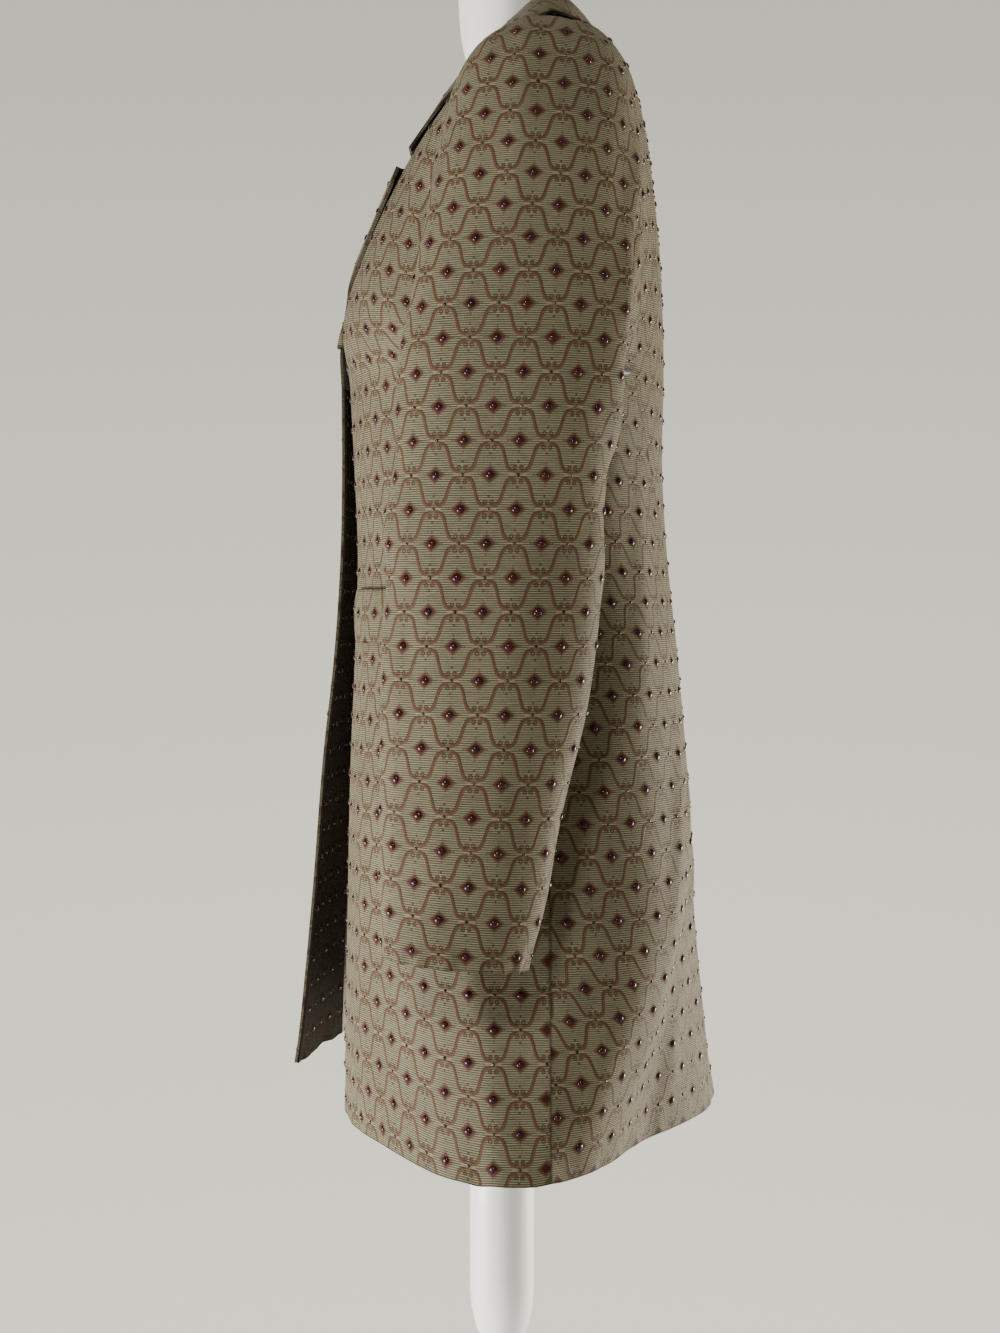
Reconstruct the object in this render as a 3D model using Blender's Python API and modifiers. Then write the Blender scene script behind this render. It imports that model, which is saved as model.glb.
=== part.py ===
"""A brocade coat with a notched collar, on a limbless dress form with a round-based stand.

Metres, +Z up. The coat faces -Y and the wearer's left is +X. The origin lies on the floor, in the
middle of the stand's base. The coat's body is a stack of level rings from the hem to the underarm
and a patch from there to each shoulder, and every panel is a stretch of these, given a wall.
"""

import math
from typing import NamedTuple

import bmesh
import bpy
import numpy as np

# Cloth
WALL = 0.002  # brocade, interlining and lining together
FACING_WALL = 0.0012
SEAM = 0.0003  # gap between neighbouring pieces
LIFT = 0.0013  # what lies on a panel is this far out, clear of the panel's flat facets
SLEEVE_LIFT = 0.0030  # the sleeve starts this far outside the armhole's edge
LEAST_SPEED = 0.11  # a ring passes at least this many metres for each radian

# Levels and points of the coat
HEM_Z = 0.658
HEM_RISE = 0.008  # the hem is this much higher between the front edge and the side
HEM_RISE_ANGLES = (math.radians(40), math.radians(42))  # where it is highest, and how far it reaches
CHEST_Z = 1.169  # underarm
NECK_POINT = np.array((0.068, 0.030, 1.412))
SHOULDER_TIP = np.array((0.190, 0.0175, 1.3755))
NECK_SHARE = 0.4  # how much of the back's upper edge is neckline, before the shoulder starts
BREAK_T = 0.10  # where the roll line starts, as a share of the front's upper edge
GORGE_T = 0.54  # where the lapel ends at the collar
SIDE_SEAM_Y = 0.030  # the side seam runs behind the widest place
SIDE_SEAM_Z = 0.80  # and has got there at this height
PATCH_RISE = 0.22  # how firmly the cloth keeps its slope above the underarm
NECK_FADE = 8  # power with which the neckline's corner fades down the back

# Mesh fineness
RING_ROWS = 13
PATCH_ROWS = 12
FRONT_COLUMNS = 11
SIDE_COLUMNS = 10
BACK_COLUMNS = 10
SLEEVE_SIDES = 28
ARMHOLE_STEPS = 24
UNDERARM_STEPS = 8
CAP_ROWS = 7
ARM_ROWS = 10
LAPEL_STEPS = 9
LAPEL_COLUMNS = 6
TURN_STEPS = 5
COLLAR_COLUMNS = 17
COLLAR_STEPS = 12
FLAP_COLUMNS = 10
FLAP_ROWS = 5
FORM_SIDES = 28
FORM_ROWS = 26
TURNED_STEPS = 32
MERGE = 0.00001
SHARP_ANGLE = math.radians(40)


class Ring(NamedTuple):
    """The coat's outline at one height: depths are y, seams and edges are x."""

    z: float
    half_width: float
    middle: float
    left_front: float
    right_front: float
    back: float
    fullness: float
    back_fullness: float
    left_edge: float
    right_edge: float
    back_seam: float


RINGS = (
    Ring(0.658, 0.235, 0.017, -0.112, -0.1630, 0.1530, 2.30, 2.00, 0.007, 0.066, 0.047),
    Ring(0.713, 0.223, 0.016, -0.112, -0.1550, 0.1460, 2.40, 2.40, 0.007, 0.058, 0.048),
    Ring(0.800, 0.206, 0.015, -0.110, -0.1440, 0.1365, 2.55, 2.90, 0.006, 0.045, 0.049),
    Ring(0.900, 0.191, 0.014, -0.108, -0.1340, 0.1305, 2.55, 2.85, 0.005, 0.032, 0.050),
    Ring(0.980, 0.176, 0.014, -0.105, -0.1240, 0.1240, 2.45, 2.70, 0.004, 0.022, 0.057),
    Ring(1.050, 0.168, 0.014, -0.1035, -0.1185, 0.1175, 2.25, 2.40, 0.003, 0.013, 0.074),
    Ring(1.110, 0.171, 0.017, -0.106, -0.1165, 0.1145, 2.15, 2.20, 0.003, 0.006, 0.102),
    Ring(1.169, 0.178, 0.020, -0.109, -0.1165, 0.1155, 2.10, 2.10, 0.003, 0.004, 0.135),
)


class Fold(NamedTuple):
    """A soft trough that deepens towards the hem; angles in degrees round from the front."""

    side: int
    top: float
    angle_top: float
    angle_hem: float
    spread_top: float
    spread_hem: float
    depth: float


FOLDS = (
    Fold(1, 0.86, 160, 131, 18, 46, 0.039),
    Fold(1, 0.96, 56, 52, 20, 30, 0.004),
    Fold(-1, 0.88, 157, 130, 18, 44, 0.032),
    Fold(-1, 0.94, 62, 60, 20, 28, 0.004),
)


class Edge(NamedTuple):
    """A point of an upper edge of a panel."""

    x: float
    y: float
    z: float


ROLL_LINE = (
    Edge(0.004, -0.111, 1.200),
    Edge(0.012, -0.101, 1.236),
    Edge(0.022, -0.085, 1.270),
    Edge(0.035, -0.064, 1.310),
    Edge(0.047, -0.041, 1.345),
    Edge(0.059, -0.010, 1.380),
)
FRONT_ARMHOLE = (
    Edge(0.171, -0.014, 1.189),
    Edge(0.164, -0.036, 1.228),
    Edge(0.163, -0.042, 1.272),
    Edge(0.170, -0.034, 1.320),
    Edge(0.182, -0.011, 1.362),
)
BACK_ARMHOLE = (
    Edge(0.146, 0.0865, 1.210),
    Edge(0.153, 0.0870, 1.260),
    Edge(0.161, 0.0830, 1.310),
    Edge(0.173, 0.0710, 1.353),
    Edge(0.184, 0.0450, 1.373),
)
CENTRE_BACK = (
    Edge(0.0, 0.1140, 1.230),
    Edge(0.0, 0.1095, 1.290),
    Edge(0.0, 0.1035, 1.343),
    Edge(0.0, 0.0960, 1.372),
    Edge(0.0, 0.0850, 1.395),
    Edge(0.0, 0.0540, 1.415),
)
UPPER_BACK = np.array((0.0, -0.036, -0.076))  # rounds the back below the shoulder seam
RIGHT_LAP = 0.006  # the right front's edge lies this far before the left one at the break


class ArmRing(NamedTuple):
    """A sleeve's outline at one height: y in front and behind, x inside and outside."""

    z: float
    front: float
    back: float
    inside: float
    outside: float


ARM_RINGS = (
    ArmRing(1.150, -0.0640, 0.0730, 0.1840, 0.2620),
    ArmRing(1.110, -0.0674, 0.0680, 0.1825, 0.2625),
    ArmRing(1.060, -0.0699, 0.0613, 0.1815, 0.2625),
    ArmRing(1.016, -0.0724, 0.0600, 0.1840, 0.2640),
    ArmRing(0.955, -0.0739, 0.0525, 0.1925, 0.2670),
    ArmRing(0.884, -0.0738, 0.0351, 0.2035, 0.2710),
    ArmRing(0.835, -0.0735, 0.0259, 0.2105, 0.2740),
    ArmRing(0.799, -0.0720, 0.0155, 0.2160, 0.2770),
)
ARM_FULLNESS = 2.2
CUFF_RISE = 0.004  # the sleeve's hem is this much higher in front and lower behind


class CapPull(NamedTuple):
    """How the sleeve leaves the armhole (x, y, z) and arrives at the arm (drop), by angle."""

    angle: float
    out: float
    aside: float
    up: float
    drop: float


CAP_PULLS = (
    CapPull(0, 0.110, 0.000, 0.001, 0.200),
    CapPull(90, 0.080, -0.012, -0.020, 0.120),
    CapPull(180, 0.016, 0.000, -0.006, 0.024),
    CapPull(270, 0.080, 0.004, -0.020, 0.120),
    CapPull(360, 0.110, 0.000, 0.001, 0.200),
)


class LapelRow(NamedTuple):
    """How far the lapel reaches from the roll line, as a share of the front's width there, and how
    far its outer edge stands off the front."""

    t: float
    reach: float
    lift: float


LAPEL_ROWS = (
    LapelRow(0.10, 0.03, 0.000),
    LapelRow(0.20, 0.12, 0.000),
    LapelRow(0.31, 0.24, 0.001),
    LapelRow(0.43, 0.37, 0.003),
    LapelRow(0.50, 0.43, 0.004),
    LapelRow(0.54, 0.40, 0.004),
)
LAPEL_TURN_IN = (0.10, 0.025)  # the lapel's hidden leg, as shares of the front's width


class CollarRow(NamedTuple):
    """Half of the collar, placed from the nape (0) over the shoulder (1) to its front end (2): rise
    is its fold's place from the neck edge, and its outer edge lies over (s, t) of the back or front."""

    place: float
    rise_x: float
    rise_y: float
    rise_z: float
    edge_s: float
    edge_t: float
    lift: float


COLLAR_ROWS = (
    CollarRow(0.00, 0.000, -0.014, 0.023, 0.000, 0.935, 0.004),
    CollarRow(0.50, -0.005, -0.010, 0.022, 0.220, 0.945, 0.004),
    CollarRow(1.00, -0.009, -0.003, 0.017, 0.220, 1.000, 0.004),
    CollarRow(1.40, -0.009, -0.003, 0.011, 0.285, 0.860, 0.004),
    CollarRow(1.75, -0.007, -0.002, 0.006, 0.345, 0.705, 0.005),
    CollarRow(2.00, -0.005, -0.001, 0.003, 0.375, 0.590, 0.006),
)
COLLAR_FRONT_T = 0.55  # where the collar ends on the roll line
COLLAR_BULGE = 0.002
FOLD_RADIUS = 0.004
FOLD_SHARE = 0.45  # the fold's radius is at most this share of the stand's height

# Pocket flaps
FLAP_TOP_Z = 1.023
FLAP_DEPTH = 0.036
FLAP_ANGLES = (21, 72)  # degrees round from the front
FLAP_CORNER = 0.010

FACING_COLUMNS = 4  # a facing covers the front's first columns


class FormRing(NamedTuple):
    """The dress form's outline at one height."""

    z: float
    half_width: float
    front: float
    back: float


FORM_RINGS = (
    FormRing(0.800, 0.140, -0.062, 0.092),
    FormRing(0.830, 0.150, -0.072, 0.102),
    FormRing(0.920, 0.155, -0.078, 0.108),
    FormRing(1.000, 0.143, -0.076, 0.098),
    FormRing(1.060, 0.128, -0.072, 0.088),
    FormRing(1.120, 0.132, -0.080, 0.090),
    FormRing(1.190, 0.143, -0.094, 0.096),
    FormRing(1.250, 0.143, -0.080, 0.096),
    FormRing(1.310, 0.145, -0.050, 0.088),
    FormRing(1.345, 0.150, -0.024, 0.074),
    FormRing(1.362, 0.136, -0.008, 0.064),
    FormRing(1.376, 0.082, -0.008, 0.056),
    FormRing(1.390, 0.049, -0.020, 0.041),
    FormRing(1.408, 0.044, -0.027, 0.036),
    FormRing(1.440, 0.043, -0.031, 0.032),
    FormRing(1.490, 0.042, -0.030, 0.030),
)


class Turn(NamedTuple):
    """A point of a turned profile."""

    radius: float
    z: float


BASE_HEIGHT = 0.016
STAND_POST = (
    Turn(0.0, 0.7997),
    Turn(0.0236, 0.7997),
    Turn(0.0236, 0.512),
    Turn(0.0225, 0.498),
    Turn(0.0196, 0.484),
    Turn(0.0150, 0.474),
    Turn(0.0125, 0.466),
    Turn(0.0125, 0.034),
    Turn(0.0210, 0.026),
    Turn(0.0250, BASE_HEIGHT + SEAM),
    Turn(0.0, BASE_HEIGHT + SEAM),
)
STAND_BASE = (
    Turn(0.0, BASE_HEIGHT),
    Turn(0.163, BASE_HEIGHT),
    Turn(0.168, 0.0135),
    Turn(0.170, 0.009),
    Turn(0.170, 0.0),
    Turn(0.0, 0.0),
)


class Finish(NamedTuple):
    """A plain surface: base colour, roughness and metallic value."""

    colour: tuple
    roughness: float
    metallic: float


BROCADE = Finish((0.18, 0.155, 0.105), 0.62, 0.0)
FORM_COVER = Finish((0.80, 0.80, 0.78), 0.55, 0.0)
STAND_PAINT = Finish((0.82, 0.82, 0.80), 0.40, 0.0)


def clear_scene():
    for old in list(bpy.data.objects):
        bpy.data.objects.remove(old, do_unlink=True)


def new_collection(name):
    collection = bpy.data.collections.new(name)
    bpy.context.scene.collection.children.link(collection)
    return collection


def new_material(name, finish):
    material = bpy.data.materials.new(name)
    material.use_nodes = True
    shader = material.node_tree.nodes["Principled BSDF"]
    shader.inputs["Base Color"].default_value = (*finish.colour, 1.0)
    shader.inputs["Roughness"].default_value = finish.roughness
    shader.inputs["Metallic"].default_value = finish.metallic
    return material


def spline(knots, values, at):
    """A smooth curve through the values at the knots, read at one or more places."""
    knots = np.asarray(knots, float)
    values = np.asarray(values, float)
    at = np.clip(np.asarray(at, float), knots[0], knots[-1])
    slopes = np.gradient(values, knots, axis=0)
    index = np.clip(np.searchsorted(knots, at, side="right") - 1, 0, len(knots) - 2)
    step = knots[index + 1] - knots[index]
    u = (at - knots[index]) / step
    if values.ndim > 1:
        u = u[..., None]
        step = step[..., None]
    start = (2 * u**3 - 3 * u**2 + 1) * values[index] + (u**3 - 2 * u**2 + u) * step * slopes[index]
    stop = (3 * u**2 - 2 * u**3) * values[index + 1] + (u**3 - u**2) * step * slopes[index + 1]
    return start + stop


def along(points, share):
    """Points of the smooth curve through some points, at shares of its length."""
    points = np.asarray(points, float)
    lengths = np.concatenate(([0.0], np.cumsum(np.linalg.norm(np.diff(points, axis=0), axis=1))))
    return spline(lengths / lengths[-1], points, share)


def column(table, name, at, key):
    """One column of a table, read smoothly by its key column."""
    rows = sorted(table, key=lambda row: getattr(row, key))
    knots = [getattr(row, key) for row in rows]
    return spline(knots, [getattr(row, name) for row in rows], at)


def body(name, z):
    return column(RINGS, name, z, "z")


def ease(share):
    share = np.clip(share, 0.0, 1.0)
    return share * share * (3.0 - 2.0 * share)


def fold_depth(z, angle, side):
    """How far the folds on one side pull the cloth in."""
    degrees = np.degrees(angle)
    total = np.zeros(np.broadcast(z, angle).shape)
    for fold in FOLDS:
        if fold.side != side:
            continue
        down = np.clip((fold.top - z) / (fold.top - HEM_Z), 0.0, 1.0)
        centre = fold.angle_top + (fold.angle_hem - fold.angle_top) * down
        spread = fold.spread_top + (fold.spread_hem - fold.spread_top) * down
        away = np.clip((degrees - centre) / spread, -1.0, 1.0)
        total = total + fold.depth * ease(down) * np.cos(away * math.pi / 2) ** 2
    return total


def ring_point(z, angle, side):
    """A point of the body's outer face; the angle runs from the front (0) over one side to the
    back (pi)."""
    z, angle = np.broadcast_arrays(np.asarray(z, float), np.asarray(angle, float))
    power = 2.0 / np.where(np.cos(angle) > 0, body("fullness", z), body("back_fullness", z))
    across = np.abs(np.sin(angle)) ** power
    forward = np.sign(np.cos(angle)) * np.abs(np.cos(angle)) ** power
    front = body("left_front" if side > 0 else "right_front", z)
    middle = body("middle", z)
    depth = np.where(forward > 0, middle - front, body("back", z) - middle)
    x = body("half_width", z) * across
    y = -depth * forward
    shrink = 1.0 - fold_depth(z, angle, side) / np.hypot(x, y)
    return np.stack((side * x * shrink, middle + y * shrink, z), axis=-1)


def ring_normal(z, angle, side):
    step = 1e-3
    level = ring_point(z, angle + step, side) - ring_point(z, angle - step, side)
    steep = ring_point(z + step, angle, side) - ring_point(z - step, angle, side)
    normal = np.cross(level, steep) * side
    return normal / np.linalg.norm(normal, axis=-1, keepdims=True)


def angle_at(z, x, behind):
    """The angle where a ring is this far from the middle, in front or behind."""
    fullness = body("back_fullness" if behind else "fullness", z)
    angle = np.arcsin(np.clip(x / body("half_width", z), 0.0, 1.0) ** (fullness / 2.0))
    return math.pi - angle if behind else angle


def front_angle(z, side):
    return angle_at(z, body("left_edge" if side > 0 else "right_edge", z), False)


def back_seam_angle(z):
    return angle_at(z, body("back_seam", z), True)


def side_angle(z):
    """The side seam: at the widest place under the arm, and a little behind it below."""
    middle = body("middle", z)
    share = (SIDE_SEAM_Y - middle) / (body("back", z) - middle)
    behind = np.arcsin(np.abs(share) ** (body("back_fullness", z) / 2.0))
    return math.pi / 2 + behind * ease((CHEST_Z - z) / (CHEST_Z - SIDE_SEAM_Z))


def centre_angle(z):
    return np.full(np.shape(z), math.pi)


def mirrored(points, side):
    return np.asarray(points, float) * (side, 1.0, 1.0)


class Patch:
    """The part of a front or back above the underarm: s runs from the middle to the armhole and t
    from the underarm to the shoulder."""

    def __init__(self, side, behind):
        self.side = side
        self.behind = behind
        if behind:
            self.angles = (math.pi, float(back_seam_angle(CHEST_Z)))
            inner, outer = CENTRE_BACK, BACK_ARMHOLE
        else:
            self.angles = (float(front_angle(CHEST_Z, side)), math.pi / 2)
            inner, outer = ROLL_LINE, FRONT_ARMHOLE
        feet = self.foot(np.array((0.0, 1.0)))
        self.inner = np.array([feet[0], *mirrored(inner, side)])
        if not behind:
            self.inner = np.vstack((self.inner, mirrored(NECK_POINT, side)))
        if side < 0 and not behind:
            rest = np.clip((ROLL_LINE[3].z - self.inner[1:, 2]) / (ROLL_LINE[3].z - ROLL_LINE[0].z), 0, 1)
            self.inner[1:, 1] -= RIGHT_LAP * rest
        self.outer = np.array([feet[1], *mirrored(outer, side), mirrored(SHOULDER_TIP, side)])

    def foot(self, s):
        """The lower edge, on the ring at the underarm."""
        angles = self.angles[0] + (self.angles[1] - self.angles[0]) * s
        return ring_point(CHEST_Z, angles, self.side)

    def rise(self, s):
        """The way that the cloth leaves the lower edge."""
        angles = self.angles[0] + (self.angles[1] - self.angles[0]) * s
        step = 0.02
        climb = ring_point(CHEST_Z, angles, self.side) - ring_point(CHEST_Z - step, angles, self.side)
        return climb / step * PATCH_RISE

    def top(self, s):
        """The upper edge: the shoulder, after the neckline on the back."""
        tip = mirrored(SHOULDER_TIP, self.side)
        neck = mirrored(NECK_POINT, self.side)
        if not self.behind:
            return neck + (tip - neck) * s[..., None]
        turn = np.clip(s / NECK_SHARE, 0.0, 1.0)[..., None] * math.pi / 2
        nape = self.inner[-1]
        x = neck[0] * np.sin(turn)
        y = neck[1] + (nape[1] - neck[1]) * np.cos(turn)
        z = nape[2] + (neck[2] - nape[2]) * np.sin(turn)
        curve = np.concatenate((x, y, z), axis=-1)
        rest = np.clip((s - NECK_SHARE) / (1.0 - NECK_SHARE), 0.0, 1.0)[..., None]
        return np.where(s[..., None] <= NECK_SHARE, curve, neck + (tip - neck) * rest)

    def guide(self, s):
        """The upper edge without the neckline's corner."""
        if not self.behind:
            return self.top(s)
        tip = mirrored(SHOULDER_TIP, self.side)
        neck = mirrored(NECK_POINT, self.side)
        other_neck = mirrored(NECK_POINT, -self.side)
        return spline((-NECK_SHARE, 0.0, NECK_SHARE, 1.0), (other_neck, self.inner[-1], neck, tip), s)

    def point(self, s, t):
        s, t = np.broadcast_arrays(np.asarray(s, float), np.asarray(t, float))
        step = 1e-3
        ends = np.array((1.0 - step, 1.0))
        inner_end = np.diff(along(self.inner, ends), axis=0)[0] / step
        outer_end = np.diff(along(self.outer, ends), axis=0)[0] / step

        def column_at(share):
            u = t[..., None]
            across = share[..., None]
            arrive = inner_end + (outer_end - inner_end) * across
            if self.behind:
                arrive = arrive + UPPER_BACK * np.sin(math.pi * across) ** 2
            low = (2 * u**3 - 3 * u**2 + 1) * self.foot(share) + (u**3 - 2 * u**2 + u) * self.rise(share)
            high = (3 * u**2 - 2 * u**3) * self.guide(share) + (u**3 - u**2) * arrive
            return low + high + u**NECK_FADE * (self.top(share) - self.guide(share))

        zero = np.zeros(s.shape)
        one = np.ones(s.shape)
        near = along(self.inner, t) - column_at(zero)
        far = along(self.outer, t) - column_at(one)
        return column_at(s) + (1.0 - s[..., None]) * near + s[..., None] * far

    def normal(self, s, t):
        """The way out of the cloth; on the shoulder seam it is the same for front and back."""
        step = 0.004
        s, t = np.broadcast_arrays(np.asarray(s, float), np.asarray(t, float))
        low_s, high_s = np.clip(s - step, 0, 1), np.clip(s + step, 0, 1)
        low_t, high_t = np.clip(t - step, 0, 1), np.clip(t + step, 0, 1)
        across = self.point(high_s, t) - self.point(low_s, t)
        upward = self.point(s, high_t) - self.point(s, low_t)
        normal = np.cross(across, upward) * self.side * (-1 if self.behind else 1)
        normal /= np.linalg.norm(normal, axis=-1, keepdims=True)
        seam = mirrored(SHOULDER_TIP - NECK_POINT, self.side)
        ridge = np.cross(seam, (0.0, 1.0, 0.0)) * self.side
        ridge /= np.linalg.norm(ridge)
        on_seam = (t > 0.999) & ((s > NECK_SHARE - 0.001) | (not self.behind))
        return np.where(on_seam[..., None], ridge, normal)


def link(name, mesh, collection, material):
    mesh.materials.append(material)
    mesh.shade_smooth()
    mesh.set_sharp_from_angle(angle=SHARP_ANGLE)
    piece = bpy.data.objects.new(name, mesh)
    collection.objects.link(piece)
    return piece


def shell(name, outer, inner, collection, material, closed=False):
    """A closed wall between two grids of points; a closed one joins its last column to its first."""
    rows, columns = outer.shape[:2]
    work = bmesh.new()
    sheets = [
        [[work.verts.new(grid[row, col]) for col in range(columns)] for row in range(rows)]
        for grid in (outer, inner)
    ]
    last = columns if closed else columns - 1
    for sheet in sheets:
        for row in range(rows - 1):
            for col in range(last):
                after = (col + 1) % columns
                low, high = sheet[row], sheet[row + 1]
                work.faces.new((low[col], low[after], high[after], high[col]))
    borders = [[(row, col) for col in range(columns)] for row in (0, rows - 1)]
    if closed:
        borders = [border + border[:1] for border in borders]
    else:
        borders += [[(row, col) for row in range(rows)] for col in (0, columns - 1)]
    for border in borders:
        for (row, col), (next_row, next_col) in zip(border, border[1:]):
            work.faces.new(
                (
                    sheets[0][row][col],
                    sheets[0][next_row][next_col],
                    sheets[1][next_row][next_col],
                    sheets[1][row][col],
                )
            )
    bmesh.ops.recalc_face_normals(work, faces=work.faces)
    mesh = bpy.data.meshes.new(name)
    work.to_mesh(mesh)
    work.free()
    return link(name, mesh, collection, material)


def turned(name, profile, collection, material):
    """A turned piece: its half profile on a Screw modifier."""
    work = bmesh.new()
    verts = [work.verts.new((turn.radius, 0.0, turn.z)) for turn in profile]
    for first, second in zip(verts, verts[1:]):
        work.edges.new((first, second))
    mesh = bpy.data.meshes.new(name)
    work.to_mesh(mesh)
    work.free()
    piece = link(name, mesh, collection, material)
    screw = piece.modifiers.new("Turn", "SCREW")
    screw.steps = TURNED_STEPS
    screw.render_steps = TURNED_STEPS
    screw.use_merge_vertices = True
    screw.merge_threshold = MERGE
    return piece


def ring_rows(side, start, stop, columns):
    """Points and normals of a panel from the hem to the underarm, between two angles."""
    up = np.linspace(0.0, 1.0, RING_ROWS)[:, None]
    share = np.linspace(0.0, 1.0, columns)[None, :]
    level = HEM_Z + (CHEST_Z - HEM_Z) * up
    first = start(level)
    angles = first + (stop(level) - first) * share
    centre, reach = HEM_RISE_ANGLES
    away = np.clip((angles - centre) / reach, -1.0, 1.0)
    heights = level + HEM_RISE * (1.0 - up) ** 2 * np.cos(away * math.pi / 2) ** 2
    return ring_point(heights, angles, side), ring_normal(heights, angles, side)


def trim(edge, way):
    """An edge moved by half a seam's gap."""
    return lambda z: edge(z) + way * SEAM / (2 * LEAST_SPEED)


def upper_rows(patch, columns):
    """Points and normals of a panel from above the underarm to the shoulder seam."""
    t = np.linspace(0.0, 1.0, PATCH_ROWS)[1:, None]
    s = np.linspace(0.0, 1.0, columns)[None, :]
    points = patch.point(s, t)
    points[-1, :, 1] += (SEAM / 2) * (1 if patch.behind else -1)
    return points, patch.normal(s, t)


def make_front(name, side, collection, material):
    lower, lower_out = ring_rows(side, lambda z: front_angle(z, side), trim(side_angle, -1), FRONT_COLUMNS)
    upper, upper_out = upper_rows(Patch(side, False), FRONT_COLUMNS)
    outer = np.vstack((lower, upper))
    normals = np.vstack((lower_out, upper_out))
    shell(name, outer, outer - WALL * normals, collection, material)


def make_side_back(name, side, collection, material):
    outer, normals = ring_rows(side, trim(side_angle, 1), trim(back_seam_angle, -1), SIDE_COLUMNS)
    shell(name, outer, outer - WALL * normals, collection, material)


def make_back(name, collection, material):
    halves = []
    for side in (1, -1):
        lower, lower_out = ring_rows(side, centre_angle, trim(back_seam_angle, 1), BACK_COLUMNS + 1)
        upper, upper_out = upper_rows(Patch(side, True), BACK_COLUMNS + 1)
        halves.append((np.vstack((lower, upper)), np.vstack((lower_out, upper_out))))
    outer = np.hstack((halves[0][0][:, ::-1], halves[1][0][:, 1:]))
    normals = np.hstack((halves[0][1][:, ::-1], halves[1][1][:, 1:]))
    normals[:, BACK_COLUMNS, 0] = 0.0
    shell(name, outer, outer - WALL * normals, collection, material)


def armhole_loop(side, shares):
    """A line just outside the armhole, from the shoulder tip over the back, the underarm and the
    front."""
    front = Patch(side, False)
    behind = Patch(side, True)
    t = np.linspace(0.0, 1.0, ARMHOLE_STEPS)
    one = np.ones(t.shape)
    under = np.linspace(back_seam_angle(CHEST_Z), math.pi / 2, UNDERARM_STEPS)[1:-1]
    below = ring_point(CHEST_Z, under, side) + SLEEVE_LIFT * ring_normal(CHEST_Z, under, side)
    rear = behind.point(one, t) + SLEEVE_LIFT * behind.normal(one, t)
    fore = front.point(one, t) + SLEEVE_LIFT * front.normal(one, t)
    points = np.vstack((rear[::-1], below, fore))
    lengths = np.concatenate(([0.0], np.cumsum(np.linalg.norm(np.diff(points, axis=0), axis=1))))
    places = shares * lengths[-1]
    return np.stack([np.interp(places, lengths, points[:, axis]) for axis in range(3)], axis=-1)


def arm_point(z, angle, side):
    """A point of the sleeve below the cap; the angle runs from outside (0) to the back (90)."""
    reach = {name: column(ARM_RINGS, name, z, "z") for name in ArmRing._fields[1:]}
    power = 2.0 / ARM_FULLNESS
    outward = np.sign(np.cos(angle)) * np.abs(np.cos(angle)) ** power
    backward = np.sign(np.sin(angle)) * np.abs(np.sin(angle)) ** power
    x = (reach["inside"] + reach["outside"]) / 2 + (reach["outside"] - reach["inside"]) / 2 * outward
    y = (reach["front"] + reach["back"]) / 2 + (reach["back"] - reach["front"]) / 2 * backward
    cuff = ease((1.0 - z) / (1.0 - ARM_RINGS[-1].z))
    level = z - CUFF_RISE * backward * cuff
    return np.stack((side * x, y, level + 0.0 * x), axis=-1)


def sleeve_grid(side):
    """The sleeve's outer face: rows from the armhole to the hem, columns round it."""
    shares = np.arange(SLEEVE_SIDES) / SLEEVE_SIDES
    angles = shares * 2 * math.pi
    start = armhole_loop(side, shares)
    stop = arm_point(ARM_RINGS[0].z, angles, side)
    degrees = np.degrees(angles)
    pull = {name: column(CAP_PULLS, name, degrees, "angle") for name in CapPull._fields[1:]}
    leave = np.stack((side * pull["out"], pull["aside"], pull["up"]), axis=-1)
    arrive = np.stack((0.0 * angles, 0.0 * angles, -pull["drop"]), axis=-1)
    rows = []
    for u in np.linspace(0.0, 1.0, CAP_ROWS):
        low = (2 * u**3 - 3 * u**2 + 1) * start + (u**3 - 2 * u**2 + u) * leave
        high = (3 * u**2 - 2 * u**3) * stop + (u**3 - u**2) * arrive
        rows.append(low + high)
    for z in np.linspace(ARM_RINGS[0].z, ARM_RINGS[-1].z, ARM_ROWS)[1:]:
        rows.append(arm_point(z, angles, side))
    return np.array(rows)


def make_sleeve(name, side, collection, material):
    outer = sleeve_grid(side)
    wrapped = np.concatenate((outer[:, -1:], outer, outer[:, :1]), axis=1)
    around = wrapped[:, 2:] - wrapped[:, :-2]
    down = np.gradient(outer, axis=0)
    normals = np.cross(down, around) * side
    normals /= np.linalg.norm(normals, axis=-1, keepdims=True)
    normals[0, :, 0] = 0.0
    normals[0] /= np.linalg.norm(normals[0], axis=-1, keepdims=True)
    shell(name, outer, outer - WALL * normals, collection, material, closed=True)


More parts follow.
